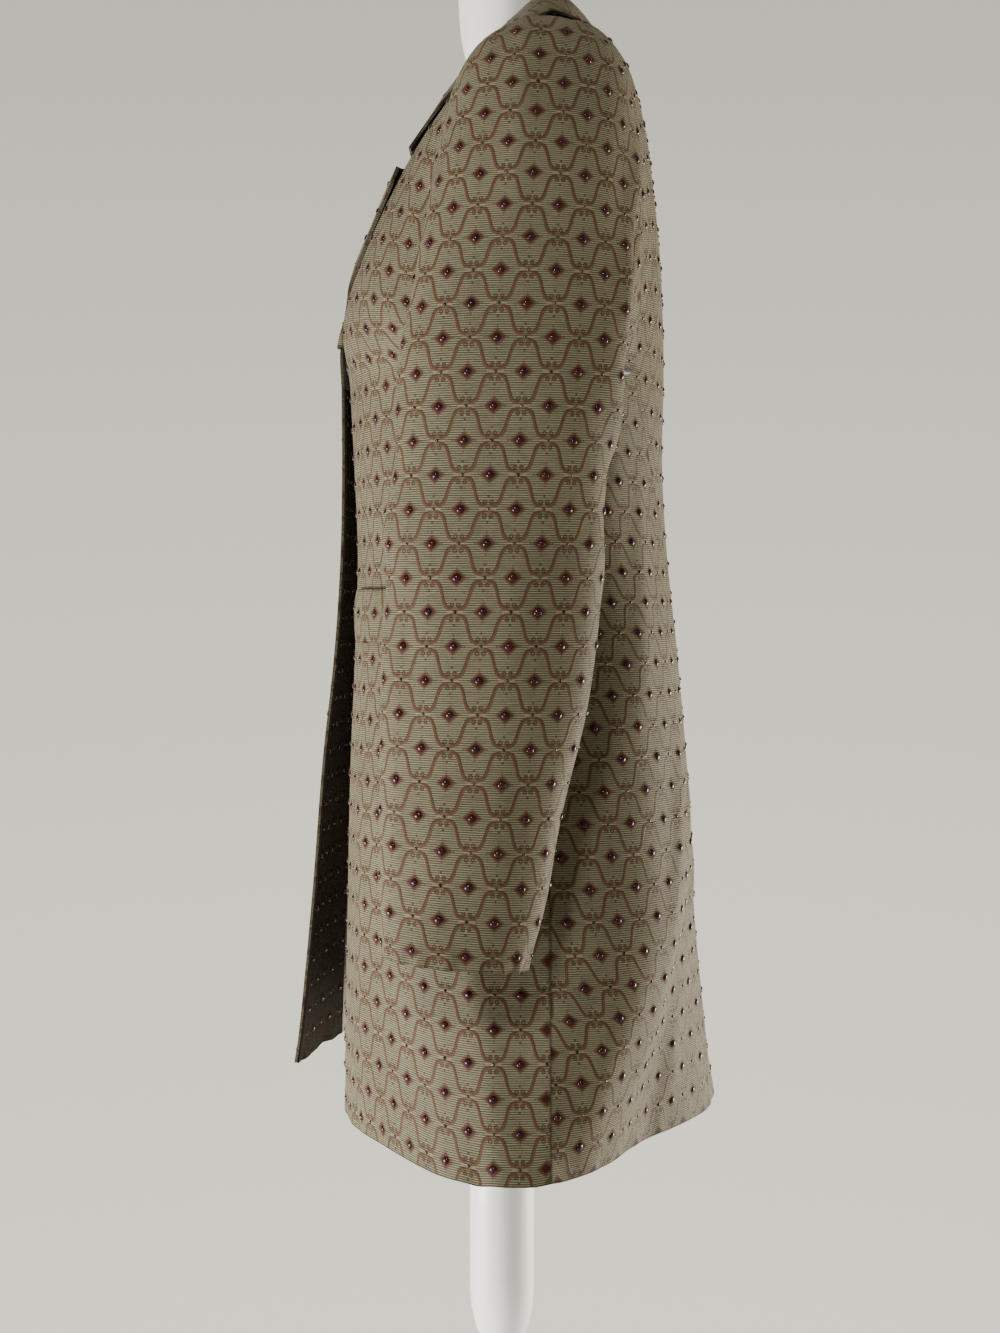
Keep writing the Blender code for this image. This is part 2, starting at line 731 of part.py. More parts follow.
def make_lapel(name, side, collection, material):
    """The lapel: a leg inside the front, a turn round the roll line and the leg that shows."""
    patch = Patch(side, False)
    t = np.linspace(BREAK_T, GORGE_T, LAPEL_STEPS)
    reach = column(LAPEL_ROWS, "reach", t, "t")
    lift = column(LAPEL_ROWS, "lift", t, "t")
    faces = []
    for thickness in (LIFT + FACING_WALL, LIFT):
        radius = WALL / 2 + thickness
        columns = []
        for leg in LAPEL_TURN_IN:
            share = np.full(t.shape, leg)
            columns.append(patch.point(share, t) - (WALL + thickness) * patch.normal(share, t))
        edge = patch.point(0.0 * t, t)
        normal = patch.normal(0.0 * t, t)
        across = patch.point(0.0 * t + 0.01, t) - edge
        across -= normal * np.sum(across * normal, axis=-1, keepdims=True)
        across /= np.linalg.norm(across, axis=-1, keepdims=True)
        for turn in np.linspace(-math.pi / 2, math.pi / 2, TURN_STEPS):
            rise = normal * (radius * math.sin(turn) - WALL / 2)
            columns.append(edge + rise - across * (radius * math.cos(turn) + SEAM))
        for out in np.linspace(0.0, 1.0, LAPEL_COLUMNS)[1:]:
            share = reach * out
            height = thickness + lift[:, None] * out
            columns.append(patch.point(share, t) + height * patch.normal(share, t))
        faces.append(np.stack(columns, axis=1))
    shell(name, faces[0], faces[1], collection, material)


def make_facing(name, side, collection, material):
    """The brocade strip along a front's inside, from the hem to the lapel."""
    points, normals = ring_rows(side, lambda z: front_angle(z, side), trim(side_angle, -1), FRONT_COLUMNS)
    points = points[:, :FACING_COLUMNS]
    normals = normals[:, :FACING_COLUMNS]
    outer = points - (WALL + SEAM) * normals
    shell(name, outer, outer - FACING_WALL * normals, collection, material)


def collar_half(side):
    """Neck edge, fold and outer edge of half the collar, from the nape to its front end."""
    behind = Patch(side, True)
    front = Patch(side, False)
    rises = []
    outers = []
    for row in COLLAR_ROWS:
        patch = behind if row.place < 1.0 else front
        rises.append((side * row.rise_x, row.rise_y, row.rise_z))
        out = patch.normal(row.edge_s, row.edge_t)
        outers.append(patch.point(row.edge_s, row.edge_t) + row.lift * out)
    places = [-COLLAR_ROWS[1].place] + [row.place for row in COLLAR_ROWS]
    rises.insert(0, mirrored(rises[1], -1))
    outers.insert(0, mirrored(outers[1], -1))
    lines = []
    for place in np.linspace(0.0, places[-1], COLLAR_COLUMNS):
        if place < 1.0:
            edge = behind.point(NECK_SHARE * place, 1.0)
        else:
            edge = front.point(0.0, 1.0 + (COLLAR_FRONT_T - 1.0) * (place - 1.0))
        rise = spline(places, rises, place)
        foot = edge + rise * LIFT / np.linalg.norm(rise)
        lines.append((foot, edge + rise, spline(places, outers, place)))
    return np.array(lines)


def make_collar(name, collection, material):
    left = collar_half(1)
    right = collar_half(-1)
    lines = np.concatenate((left[::-1], right[1:]))
    grid = []
    for foot, fold, outer in lines:
        base = (foot + outer) / 2
        down = (base - fold) / np.linalg.norm(base - fold)
        aside = (outer - foot) - down * np.dot(outer - foot, down)
        aside /= np.linalg.norm(aside)
        radius = min(FOLD_RADIUS, FOLD_SHARE * np.linalg.norm(fold - foot))
        turned_over = fold + radius * (down + aside)
        path = (
            foot - aside * WALL / 2,
            fold + radius * (down - aside),
            fold,
            turned_over,
            (turned_over + outer) / 2 + COLLAR_BULGE * (aside - down),
            outer,
        )
        grid.append(along(path, np.linspace(0.0, 1.0, COLLAR_STEPS)))
    exposed = np.array(grid)
    normals = np.cross(np.gradient(exposed, axis=0), np.gradient(exposed, axis=1))
    normals /= np.linalg.norm(normals, axis=-1, keepdims=True)
    shell(name, exposed, exposed - WALL * normals, collection, material)


def make_flap(name, side, collection, material):
    """A pocket flap on the front, with rounded lower corners."""
    across = np.linspace(0.0, 1.0, FLAP_COLUMNS)[None, :]
    down = np.linspace(0.0, 1.0, FLAP_ROWS)[:, None]
    first, last = np.radians(FLAP_ANGLES)
    angles = first + (last - first) * across
    near_end = np.minimum(across, 1.0 - across) * (last - first) * body("half_width", FLAP_TOP_Z)
    corner = np.clip(1.0 - near_end / FLAP_CORNER, 0.0, 1.0)
    depth = FLAP_DEPTH - FLAP_CORNER * (1.0 - np.sqrt(1.0 - corner**2))
    heights = FLAP_TOP_Z - depth * down
    angles = np.broadcast_to(angles, heights.shape)
    points = ring_point(heights, angles, side)
    normals = ring_normal(heights, angles, side)
    inner = points + LIFT * normals
    shell(name, inner + WALL * normals, inner, collection, material)


def make_form(name, collection, material):
    """The dress form: one smooth closed body from the hips to the top of the neck."""
    levels = np.linspace(FORM_RINGS[0].z, FORM_RINGS[-1].z, FORM_ROWS)
    angles = np.arange(FORM_SIDES) / FORM_SIDES * 2 * math.pi
    work = bmesh.new()
    rings = []
    for z in levels:
        half_width, front, back = (column(FORM_RINGS, part, z, "z") for part in FormRing._fields[1:])
        centre, depth = (front + back) / 2, (back - front) / 2
        ring = [(half_width * math.sin(a), centre - depth * math.cos(a), z) for a in angles]
        rings.append([work.verts.new(point) for point in ring])
    for low, high in zip(rings, rings[1:]):
        for index in range(FORM_SIDES):
            after = (index + 1) % FORM_SIDES
            work.faces.new((low[index], low[after], high[after], high[index]))
    work.faces.new(rings[0])
    work.faces.new(rings[-1])
    bmesh.ops.recalc_face_normals(work, faces=work.faces)
    mesh = bpy.data.meshes.new(name)
    work.to_mesh(mesh)
    work.free()
    link(name, mesh, collection, material)


def main():
    clear_scene()
    collection = new_collection("brocade_coat_on_form")
    for side, hand in ((1, "left"), (-1, "right")):
        makers = {
            "front": make_front,
            "side_back": make_side_back,
            "sleeve": make_sleeve,
            "lapel": make_lapel,
            "facing": make_facing,
            "pocket_flap": make_flap,
        }
        for piece, make in makers.items():
            name = f"{hand}_{piece}"
            make(name, side, collection, new_material(f"brocade_{name}", BROCADE))
    make_back("back", collection, new_material("brocade_back", BROCADE))
    make_collar("collar", collection, new_material("brocade_collar", BROCADE))
    make_form("form_torso", collection, new_material("form_cover", FORM_COVER))
    turned("stand_post", STAND_POST, collection, new_material("post_paint", STAND_PAINT))
    turned("stand_base", STAND_BASE, collection, new_material("base_paint", STAND_PAINT))


if __name__ == "__main__":
    main()
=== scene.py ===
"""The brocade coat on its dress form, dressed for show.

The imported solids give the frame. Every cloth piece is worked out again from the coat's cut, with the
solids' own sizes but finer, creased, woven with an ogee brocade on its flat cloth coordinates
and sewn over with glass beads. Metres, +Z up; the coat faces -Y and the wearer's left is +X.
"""

import logging
import math
from dataclasses import dataclass, field
from enum import Enum
from typing import Any, Callable, NamedTuple, Sequence

import bpy
import numpy as np
from bpy.types import Material, Mesh, Node, NodeSocket, NodeTree, Object
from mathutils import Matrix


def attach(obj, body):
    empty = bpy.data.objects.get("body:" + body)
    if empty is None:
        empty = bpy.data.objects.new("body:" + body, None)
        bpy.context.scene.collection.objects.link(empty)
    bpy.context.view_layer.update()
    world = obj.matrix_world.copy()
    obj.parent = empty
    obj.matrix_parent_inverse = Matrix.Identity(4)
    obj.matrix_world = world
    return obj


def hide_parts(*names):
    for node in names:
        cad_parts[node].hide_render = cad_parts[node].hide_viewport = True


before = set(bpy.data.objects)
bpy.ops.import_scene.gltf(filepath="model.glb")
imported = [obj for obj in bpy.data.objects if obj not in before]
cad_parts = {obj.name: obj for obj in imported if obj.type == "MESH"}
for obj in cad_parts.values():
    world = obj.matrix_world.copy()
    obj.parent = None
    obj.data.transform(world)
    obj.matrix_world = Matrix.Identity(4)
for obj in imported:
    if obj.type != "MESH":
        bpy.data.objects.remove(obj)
LOG = logging.getLogger("coat")
ROOT = "root"
Grid = np.ndarray
Pair = tuple[float, float]
Triple = tuple[float, float, float]


class Side(Enum):
    """A side of the wearer; the value is the sign of its x."""

    LEFT = 1
    RIGHT = -1

    @property
    def hand(self) -> str:
        """The side's name in piece names."""
        return self.name.lower()


class Layer(Enum):
    """Which material slot of a cloth piece a face takes."""

    FACE = 0
    LINING = 1


class Hold(Enum):
    """How a sheet of cloth is kept in its shape."""

    HUNG = "hung"
    LAID = "laid"
    FOLDED = "folded"


# The coat's cut, as in the solids
WALL = 0.002
FACING_WALL = 0.0012
SEAM = 0.0003
LIFT = 0.0013
SLEEVE_LIFT = 0.0030
LEAST_SPEED = 0.11  # metres along a ring for each radian, at the least
HEM_Z = 0.658
HEM_RISE = 0.008
HEM_RISE_ANGLES = (math.radians(40), math.radians(42))
CHEST_Z = 1.169
NECK_POINT = np.array((0.068, 0.030, 1.412))
SHOULDER_TIP = np.array((0.190, 0.0175, 1.3755))
NECK_SHARE = 0.4
BREAK_T = 0.10
GORGE_T = 0.54
SIDE_SEAM_Y = 0.030
SIDE_SEAM_Z = 0.80
PATCH_RISE = 0.22
NECK_FADE = 8  # power by which the neckline's corner fades downwards
UPPER_BACK = np.array((0.0, -0.036, -0.076))
RIGHT_LAP = 0.006
CLOTH_CREST = math.radians(50)  # a sharper edge than this is shaded as one
STAND_CREST = math.radians(40)


class Ring(NamedTuple):
    """The coat's outline at one height: depths are y, seams and edges are x."""

    z: float
    half_width: float
    middle: float
    left_front: float
    right_front: float
    back: float
    fullness: float
    back_fullness: float
    left_edge: float
    right_edge: float
    back_seam: float


RINGS = (
    Ring(0.658, 0.235, 0.017, -0.112, -0.1630, 0.1530, 2.30, 2.00, 0.007, 0.066, 0.047),
    Ring(0.713, 0.223, 0.016, -0.112, -0.1550, 0.1460, 2.40, 2.40, 0.007, 0.058, 0.048),
    Ring(0.800, 0.206, 0.015, -0.110, -0.1440, 0.1365, 2.55, 2.90, 0.006, 0.045, 0.049),
    Ring(0.900, 0.191, 0.014, -0.108, -0.1340, 0.1305, 2.55, 2.85, 0.005, 0.032, 0.050),
    Ring(0.980, 0.176, 0.014, -0.105, -0.1240, 0.1240, 2.45, 2.70, 0.004, 0.022, 0.057),
    Ring(1.050, 0.168, 0.014, -0.1035, -0.1185, 0.1175, 2.25, 2.40, 0.003, 0.013, 0.074),
    Ring(1.110, 0.171, 0.017, -0.106, -0.1165, 0.1145, 2.15, 2.20, 0.003, 0.006, 0.102),
    Ring(1.169, 0.178, 0.020, -0.109, -0.1165, 0.1155, 2.10, 2.10, 0.003, 0.004, 0.135),
)


class Fold(NamedTuple):
    """A soft trough that deepens towards the hem; angles in degrees round from the front."""

    side: Side
    top: float
    angle_top: float
    angle_hem: float
    spread_top: float
    spread_hem: float
    depth: float


FOLDS = (
    Fold(Side.LEFT, 0.86, 160, 131, 18, 46, 0.039),
    Fold(Side.LEFT, 0.96, 56, 52, 20, 30, 0.004),
    Fold(Side.RIGHT, 0.88, 157, 130, 18, 44, 0.032),
    Fold(Side.RIGHT, 0.94, 62, 60, 20, 28, 0.004),
)


class Crease(NamedTuple):
    """A soft crease laid between two points of a panel's plane: width and depth in metres,
    a negative depth stands out, and bow is how far its middle swings aside."""

    start: Pair
    stop: Pair
    width: float
    depth: float
    bow: float = 0.0


# Body creases: x is the angle from the front in degrees, y is the height
BODY_CREASES: dict[Side, tuple[Crease, ...]] = {
    Side.LEFT: (
        Crease((150, 0.93), (116, 0.67), 0.014, -0.0050, 0.010),
        Crease((160, 0.90), (138, 0.78), 0.008, -0.0030, 0.004),
        Crease((166, 0.84), (146, 0.66), 0.013, -0.0035, -0.006),
        Crease((120, 1.13), (98, 1.02), 0.012, 0.0022, 0.006),
        Crease((138, 1.10), (122, 0.93), 0.014, -0.0020, 0.008),
        Crease((64, 1.12), (44, 1.01), 0.013, 0.0018, -0.006),
        Crease((30, 0.90), (34, 0.67), 0.017, -0.0022, 0.006),
        Crease((78, 0.80), (84, 0.66), 0.014, -0.0024, 0.004),
        Crease((104, 0.78), (100, 0.66), 0.011, 0.0022, -0.004),
        Crease((12, 1.16), (30, 1.04), 0.012, 0.0014, 0.004),
    ),
    Side.RIGHT: (
        Crease((148, 0.95), (118, 0.67), 0.017, -0.0036, 0.009),
        Crease((168, 0.82), (150, 0.66), 0.013, -0.0030, -0.005),
        Crease((122, 1.12), (100, 1.01), 0.012, 0.0020, 0.006),
        Crease((60, 1.12), (42, 1.00), 0.013, 0.0018, -0.005),
        Crease((36, 0.92), (40, 0.67), 0.018, -0.0024, 0.006),
        Crease((82, 0.81), (86, 0.66), 0.014, -0.0022, 0.004),
        Crease((18, 1.15), (34, 1.03), 0.012, 0.0015, 0.004),
    ),
}
BODY_REACH = 0.17  # metres on the body for each radian
CREASE_WIDTH = (0.75, 0.5)  # share of a crease's width at its start, and what it gains
CREASE_FADE = (0.12, 0.76)  # where its ends cut the half wave of its depth
CREASE_UNEVEN = (0.25, 9.0, 40.0)  # share, waves along it, and offset by its width

# Upper creases: x runs from the middle to the armhole and y from the underarm to the shoulder
FRONT_CREASES = (
    Crease((0.95, 0.05), (0.66, 0.30), 0.011, 0.0018, 0.004),
    Crease((0.97, 0.30), (0.74, 0.62), 0.012, -0.0016, 0.005),
    Crease((0.92, 0.62), (0.70, 0.92), 0.012, 0.0012, -0.004),
)
BACK_CREASES = (
    Crease((0.96, 0.06), (0.62, 0.34), 0.012, 0.0020, 0.005),
    Crease((0.98, 0.30), (0.80, 0.72), 0.013, -0.0026, 0.004),
    Crease((0.30, 0.10), (0.10, 0.55), 0.016, 0.0010, 0.006),
)
PATCH_REACH = (0.17, 0.23)

# Sleeve creases: x is the angle from the outside towards the back in degrees, y runs down the sleeve
SLEEVE_CREASES = (
    Crease((70, 0.02), (76, 0.37), 0.010, -0.0065, 0.004),
    Crease((96, 0.03), (100, 0.35), 0.010, 0.0080, 0.004),
    Crease((84, 0.15), (112, 0.09), 0.006, -0.0030, 0.002),
    Crease((84, 0.26), (114, 0.20), 0.006, -0.0028, -0.002),
    Crease((86, 0.36), (116, 0.29), 0.007, -0.0030, 0.002),
    Crease((52, 0.34), (112, 0.50), 0.013, -0.0030, 0.006),
    Crease((40, 0.44), (120, 0.56), 0.012, 0.0024, -0.005),
    Crease((60, 0.55), (130, 0.64), 0.012, -0.0026, 0.005),
    Crease((-150, 0.42), (-70, 0.50), 0.013, 0.0034, 0.006),
    Crease((-160, 0.51), (-62, 0.58), 0.012, -0.0030, 0.005),
    Crease((-150, 0.60), (-80, 0.62), 0.012, 0.0028, -0.004),
    Crease((-60, 0.06), (-84, 0.34), 0.014, 0.0026, 0.005),
    Crease((10, 0.60), (24, 0.96), 0.015, -0.0016, 0.006),
    Crease((-46, 0.66), (-40, 0.98), 0.014, 0.0016, -0.005),
    Crease((170, 0.10), (120, 0.30), 0.012, 0.0030, 0.005),
)
SLEEVE_REACH = (0.055, 0.57)


class Ripple(NamedTuple):
    """One wave of an uneven hem: how many waves in a radian, its share of the height, its offset."""

    waves: float
    share: float
    offset: float


PANEL_RIPPLES = (Ripple(31.0, 1.0, 0.0), Ripple(53.0, 0.6, 1.3))
SLEEVE_RIPPLES = (Ripple(17.0, 1.0, 0.0), Ripple(29.0, 0.5, 0.7))


class Edge(NamedTuple):
    """A point of an upper edge of a panel."""

    x: float
    y: float
    z: float


ROLL_LINE = (
    Edge(0.004, -0.111, 1.200),
    Edge(0.012, -0.101, 1.236),
    Edge(0.022, -0.085, 1.270),
    Edge(0.035, -0.064, 1.310),
    Edge(0.047, -0.041, 1.345),
    Edge(0.059, -0.010, 1.380),
)
FRONT_ARMHOLE = (
    Edge(0.171, -0.014, 1.189),
    Edge(0.164, -0.036, 1.228),
    Edge(0.163, -0.042, 1.272),
    Edge(0.170, -0.034, 1.320),
    Edge(0.182, -0.011, 1.362),
)
BACK_ARMHOLE = (
    Edge(0.146, 0.0865, 1.210),
    Edge(0.153, 0.0870, 1.260),
    Edge(0.161, 0.0830, 1.310),
    Edge(0.173, 0.0710, 1.353),
    Edge(0.184, 0.0450, 1.373),
)
CENTRE_BACK = (
    Edge(0.0, 0.1140, 1.230),
    Edge(0.0, 0.1095, 1.290),
    Edge(0.0, 0.1035, 1.343),
    Edge(0.0, 0.0960, 1.372),
    Edge(0.0, 0.0850, 1.395),
    Edge(0.0, 0.0540, 1.415),
)


class ArmRing(NamedTuple):
    """A sleeve's outline at one height: y in front and behind, x inside and outside."""

    z: float
    front: float
    back: float
    inside: float
    outside: float


ARM_RINGS = (
    ArmRing(1.150, -0.0640, 0.0730, 0.1840, 0.2620),
    ArmRing(1.110, -0.0674, 0.0680, 0.1825, 0.2625),
    ArmRing(1.060, -0.0699, 0.0613, 0.1815, 0.2625),
    ArmRing(1.016, -0.0724, 0.0600, 0.1840, 0.2640),
    ArmRing(0.955, -0.0739, 0.0525, 0.1925, 0.2670),
    ArmRing(0.884, -0.0738, 0.0351, 0.2035, 0.2710),
    ArmRing(0.835, -0.0735, 0.0259, 0.2105, 0.2740),
    ArmRing(0.799, -0.0720, 0.0155, 0.2160, 0.2770),
)
ARM_FULLNESS = 2.2
CUFF_RISE = 0.004
CUFF_TOP_Z = 1.0  # where the cuff's slant begins


class CapPull(NamedTuple):
    """How the sleeve leaves the armhole (x, y, z) and arrives at the arm (drop), by angle."""

    angle: float
    out: float
    aside: float
    up: float
    drop: float


CAP_PULLS = (
    CapPull(0, 0.110, 0.000, 0.001, 0.200),
    CapPull(90, 0.080, -0.012, -0.020, 0.120),
    CapPull(180, 0.016, 0.000, -0.006, 0.024),
    CapPull(270, 0.080, 0.004, -0.020, 0.120),
    CapPull(360, 0.110, 0.000, 0.001, 0.200),
)


class LapelRow(NamedTuple):
    """How far the lapel reaches from the roll line, as a share of the front's width there, and how
    far its outer edge stands off the front."""

    t: float
    reach: float
    lift: float


LAPEL_ROWS = (
    LapelRow(0.10, 0.03, 0.000),
    LapelRow(0.20, 0.12, 0.000),
    LapelRow(0.31, 0.24, 0.000),
    LapelRow(0.43, 0.37, 0.0006),
    LapelRow(0.50, 0.43, 0.0018),
    LapelRow(0.54, 0.40, 0.0030),
)
LAPEL_TURN_IN = (0.10, 0.025)


class CollarRow(NamedTuple):
    """Half of the collar, placed from the nape (0) over the shoulder (1) to its front end (2): rise
    is its fold's place from the neck edge, and its outer edge lies over (s, t) of the back or front."""

    place: float
    rise_x: float
    rise_y: float
    rise_z: float
    edge_s: float
    edge_t: float
    lift: float


COLLAR_ROWS = (
    CollarRow(0.00, 0.000, -0.014, 0.023, 0.000, 0.935, 0.004),
    CollarRow(0.50, -0.005, -0.010, 0.022, 0.220, 0.945, 0.004),
    CollarRow(1.00, -0.009, -0.003, 0.017, 0.220, 1.000, 0.0030),
    CollarRow(1.40, -0.009, -0.003, 0.011, 0.285, 0.860, 0.0023),
    CollarRow(1.75, -0.007, -0.002, 0.006, 0.345, 0.705, 0.0022),
    CollarRow(2.00, -0.005, -0.001, 0.003, 0.375, 0.590, 0.0027),
)
COLLAR_FRONT_T = 0.55
COLLAR_BULGE = 0.002
FOLD_RADIUS = 0.004
FOLD_SHARE = 0.45
FLAP_TOP_Z = 1.023
FLAP_DEPTH = 0.036
FLAP_ANGLES = (21, 72)
FLAP_CORNER = 0.010
FACING_SHARE = 0.3  # a facing covers this share of the front's width


class FormRing(NamedTuple):
    """The dress form's outline at one height."""

    z: float
    half_width: float
    front: float
    back: float


FORM_RINGS = (
    FormRing(0.800, 0.140, -0.062, 0.092),
    FormRing(0.830, 0.150, -0.072, 0.102),
    FormRing(0.920, 0.155, -0.078, 0.108),
    FormRing(1.000, 0.143, -0.076, 0.098),
    FormRing(1.060, 0.128, -0.072, 0.088),
    FormRing(1.120, 0.132, -0.080, 0.090),
    FormRing(1.190, 0.143, -0.094, 0.096),
    FormRing(1.250, 0.143, -0.080, 0.096),
    FormRing(1.310, 0.145, -0.050, 0.088),
    FormRing(1.345, 0.150, -0.024, 0.074),
    FormRing(1.362, 0.136, -0.008, 0.064),
    FormRing(1.376, 0.082, -0.008, 0.056),
    FormRing(1.390, 0.049, -0.020, 0.041),
    FormRing(1.408, 0.044, -0.027, 0.036),
    FormRing(1.440, 0.043, -0.031, 0.032),
    FormRing(1.490, 0.042, -0.030, 0.030),
)


def hermite(u: Any, start: Any, leave: Any, stop: Any, arrive: Any) -> Grid:
    """A cubic between two ends.

    Args:
        u: share of the way, from 0 to 1.
        start: the first end.
        leave: the way out of it.
        stop: the last end.
        arrive: the way into it.

    Returns:
        The cubic's points.
    """
    low = (2 * u**3 - 3 * u**2 + 1) * start + (u**3 - 2 * u**2 + u) * leave
    return low + (3 * u**2 - 2 * u**3) * stop + (u**3 - u**2) * arrive


def spline(knots: Sequence[float], values: Any, at: Any) -> Grid:
    """A smooth curve through values at knots.

    Args:
        knots: rising places of the values.
        values: one number or point for each knot.
        at: one or more places to read.

    Returns:
        The curve's values at those places.
    """
    knots = np.asarray(knots, float)
    values = np.asarray(values, float)
    at = np.clip(np.asarray(at, float), knots[0], knots[-1])
    slopes = np.gradient(values, knots, axis=0)
    index = np.clip(np.searchsorted(knots, at, side="right") - 1, 0, len(knots) - 2)
    step = knots[index + 1] - knots[index]
    u = (at - knots[index]) / step
    if values.ndim > 1:
        u, step = u[..., None], step[..., None]
    return hermite(u, values[index], step * slopes[index], values[index + 1], step * slopes[index + 1])


def lengths_of(points: Grid) -> Grid:
    """Length of a line of points up to each of them."""
    steps = np.linalg.norm(np.diff(points, axis=0), axis=1)
    return np.concatenate(([0.0], np.cumsum(steps)))


def along(points: Any, share: Any) -> Grid:
    """Points of the smooth curve through some points, at shares of its length."""
    lengths = lengths_of(np.asarray(points, float))
    return spline(lengths / lengths[-1], points, share)


def column(table: Sequence[Any], name: str, at: Any, key: str) -> Grid:
    """One column of a table, read smoothly by its key column."""
    rows = sorted(table, key=lambda row: getattr(row, key))
    return spline([getattr(row, key) for row in rows], [getattr(row, name) for row in rows], at)


def ease(share: Any) -> Grid:
    """A smooth step from 0 to 1."""
    share = np.clip(share, 0.0, 1.0)
    return share * share * (3.0 - 2.0 * share)


def unit(vectors: Grid) -> Grid:
    """Vectors of length 1."""
    return vectors / np.linalg.norm(vectors, axis=-1, keepdims=True)


def rounded(wave: Grid, power: Any) -> Grid:
    """A sine or cosine to a power with its sign kept, for a full ring."""
    return np.sign(wave) * np.abs(wave) ** power


def rippled(ripples: Sequence[Ripple], angles: Grid) -> Grid:
    """The unevenness of a hem round its ring, as a share of its height."""
    return sum(ripple.share * np.sin(angles * ripple.waves + ripple.offset) for ripple in ripples)


def mirrored(points: Any, side: Side) -> Grid:
    """Points on a side of the coat, from those of the left one."""
    return np.asarray(points, float) * (side.value, 1.0, 1.0)


def crease_depth(creases: Sequence[Crease], x: Any, y: Any, reach: Pair) -> Grid:
    """How far the creases push the cloth in.

    Args:
        creases: the creases, in the plane's own units.
        x: first coordinate in that plane.
        y: second coordinate.
        reach: metres for each unit of x and y.

    Returns:
        Depth in metres at each point.
    """
    x, y = np.broadcast_arrays(np.asarray(x, float), np.asarray(y, float))
    total = np.zeros(x.shape)
    scale = np.array(reach)
    for crease in creases:
        start = np.array(crease.start) * scale
        way = np.array(crease.stop) * scale - start
        length = float(np.hypot(*way))
        way /= length
        from_start = (x * scale[0] - start[0], y * scale[1] - start[1])
        forward = (from_start[0] * way[0] + from_start[1] * way[1]) / length
        aside = from_start[1] * way[0] - from_start[0] * way[1]
        inside = np.clip(forward, 0.0, 1.0)
        aside = aside - crease.bow * np.sin(math.pi * inside)
        beyond = (forward - inside) * length
        spread = crease.width * (CREASE_WIDTH[0] + CREASE_WIDTH[1] * inside)
        fade = np.sin(math.pi * np.clip(CREASE_FADE[0] + CREASE_FADE[1] * inside, 0.0, 1.0))
        share, waves, offset = CREASE_UNEVEN
        uneven = 1.0 + share * np.sin(waves * inside + offset * crease.width)
        total += crease.depth * fade * uneven * np.exp(-(aside**2 + beyond**2) / spread**2)
    return total


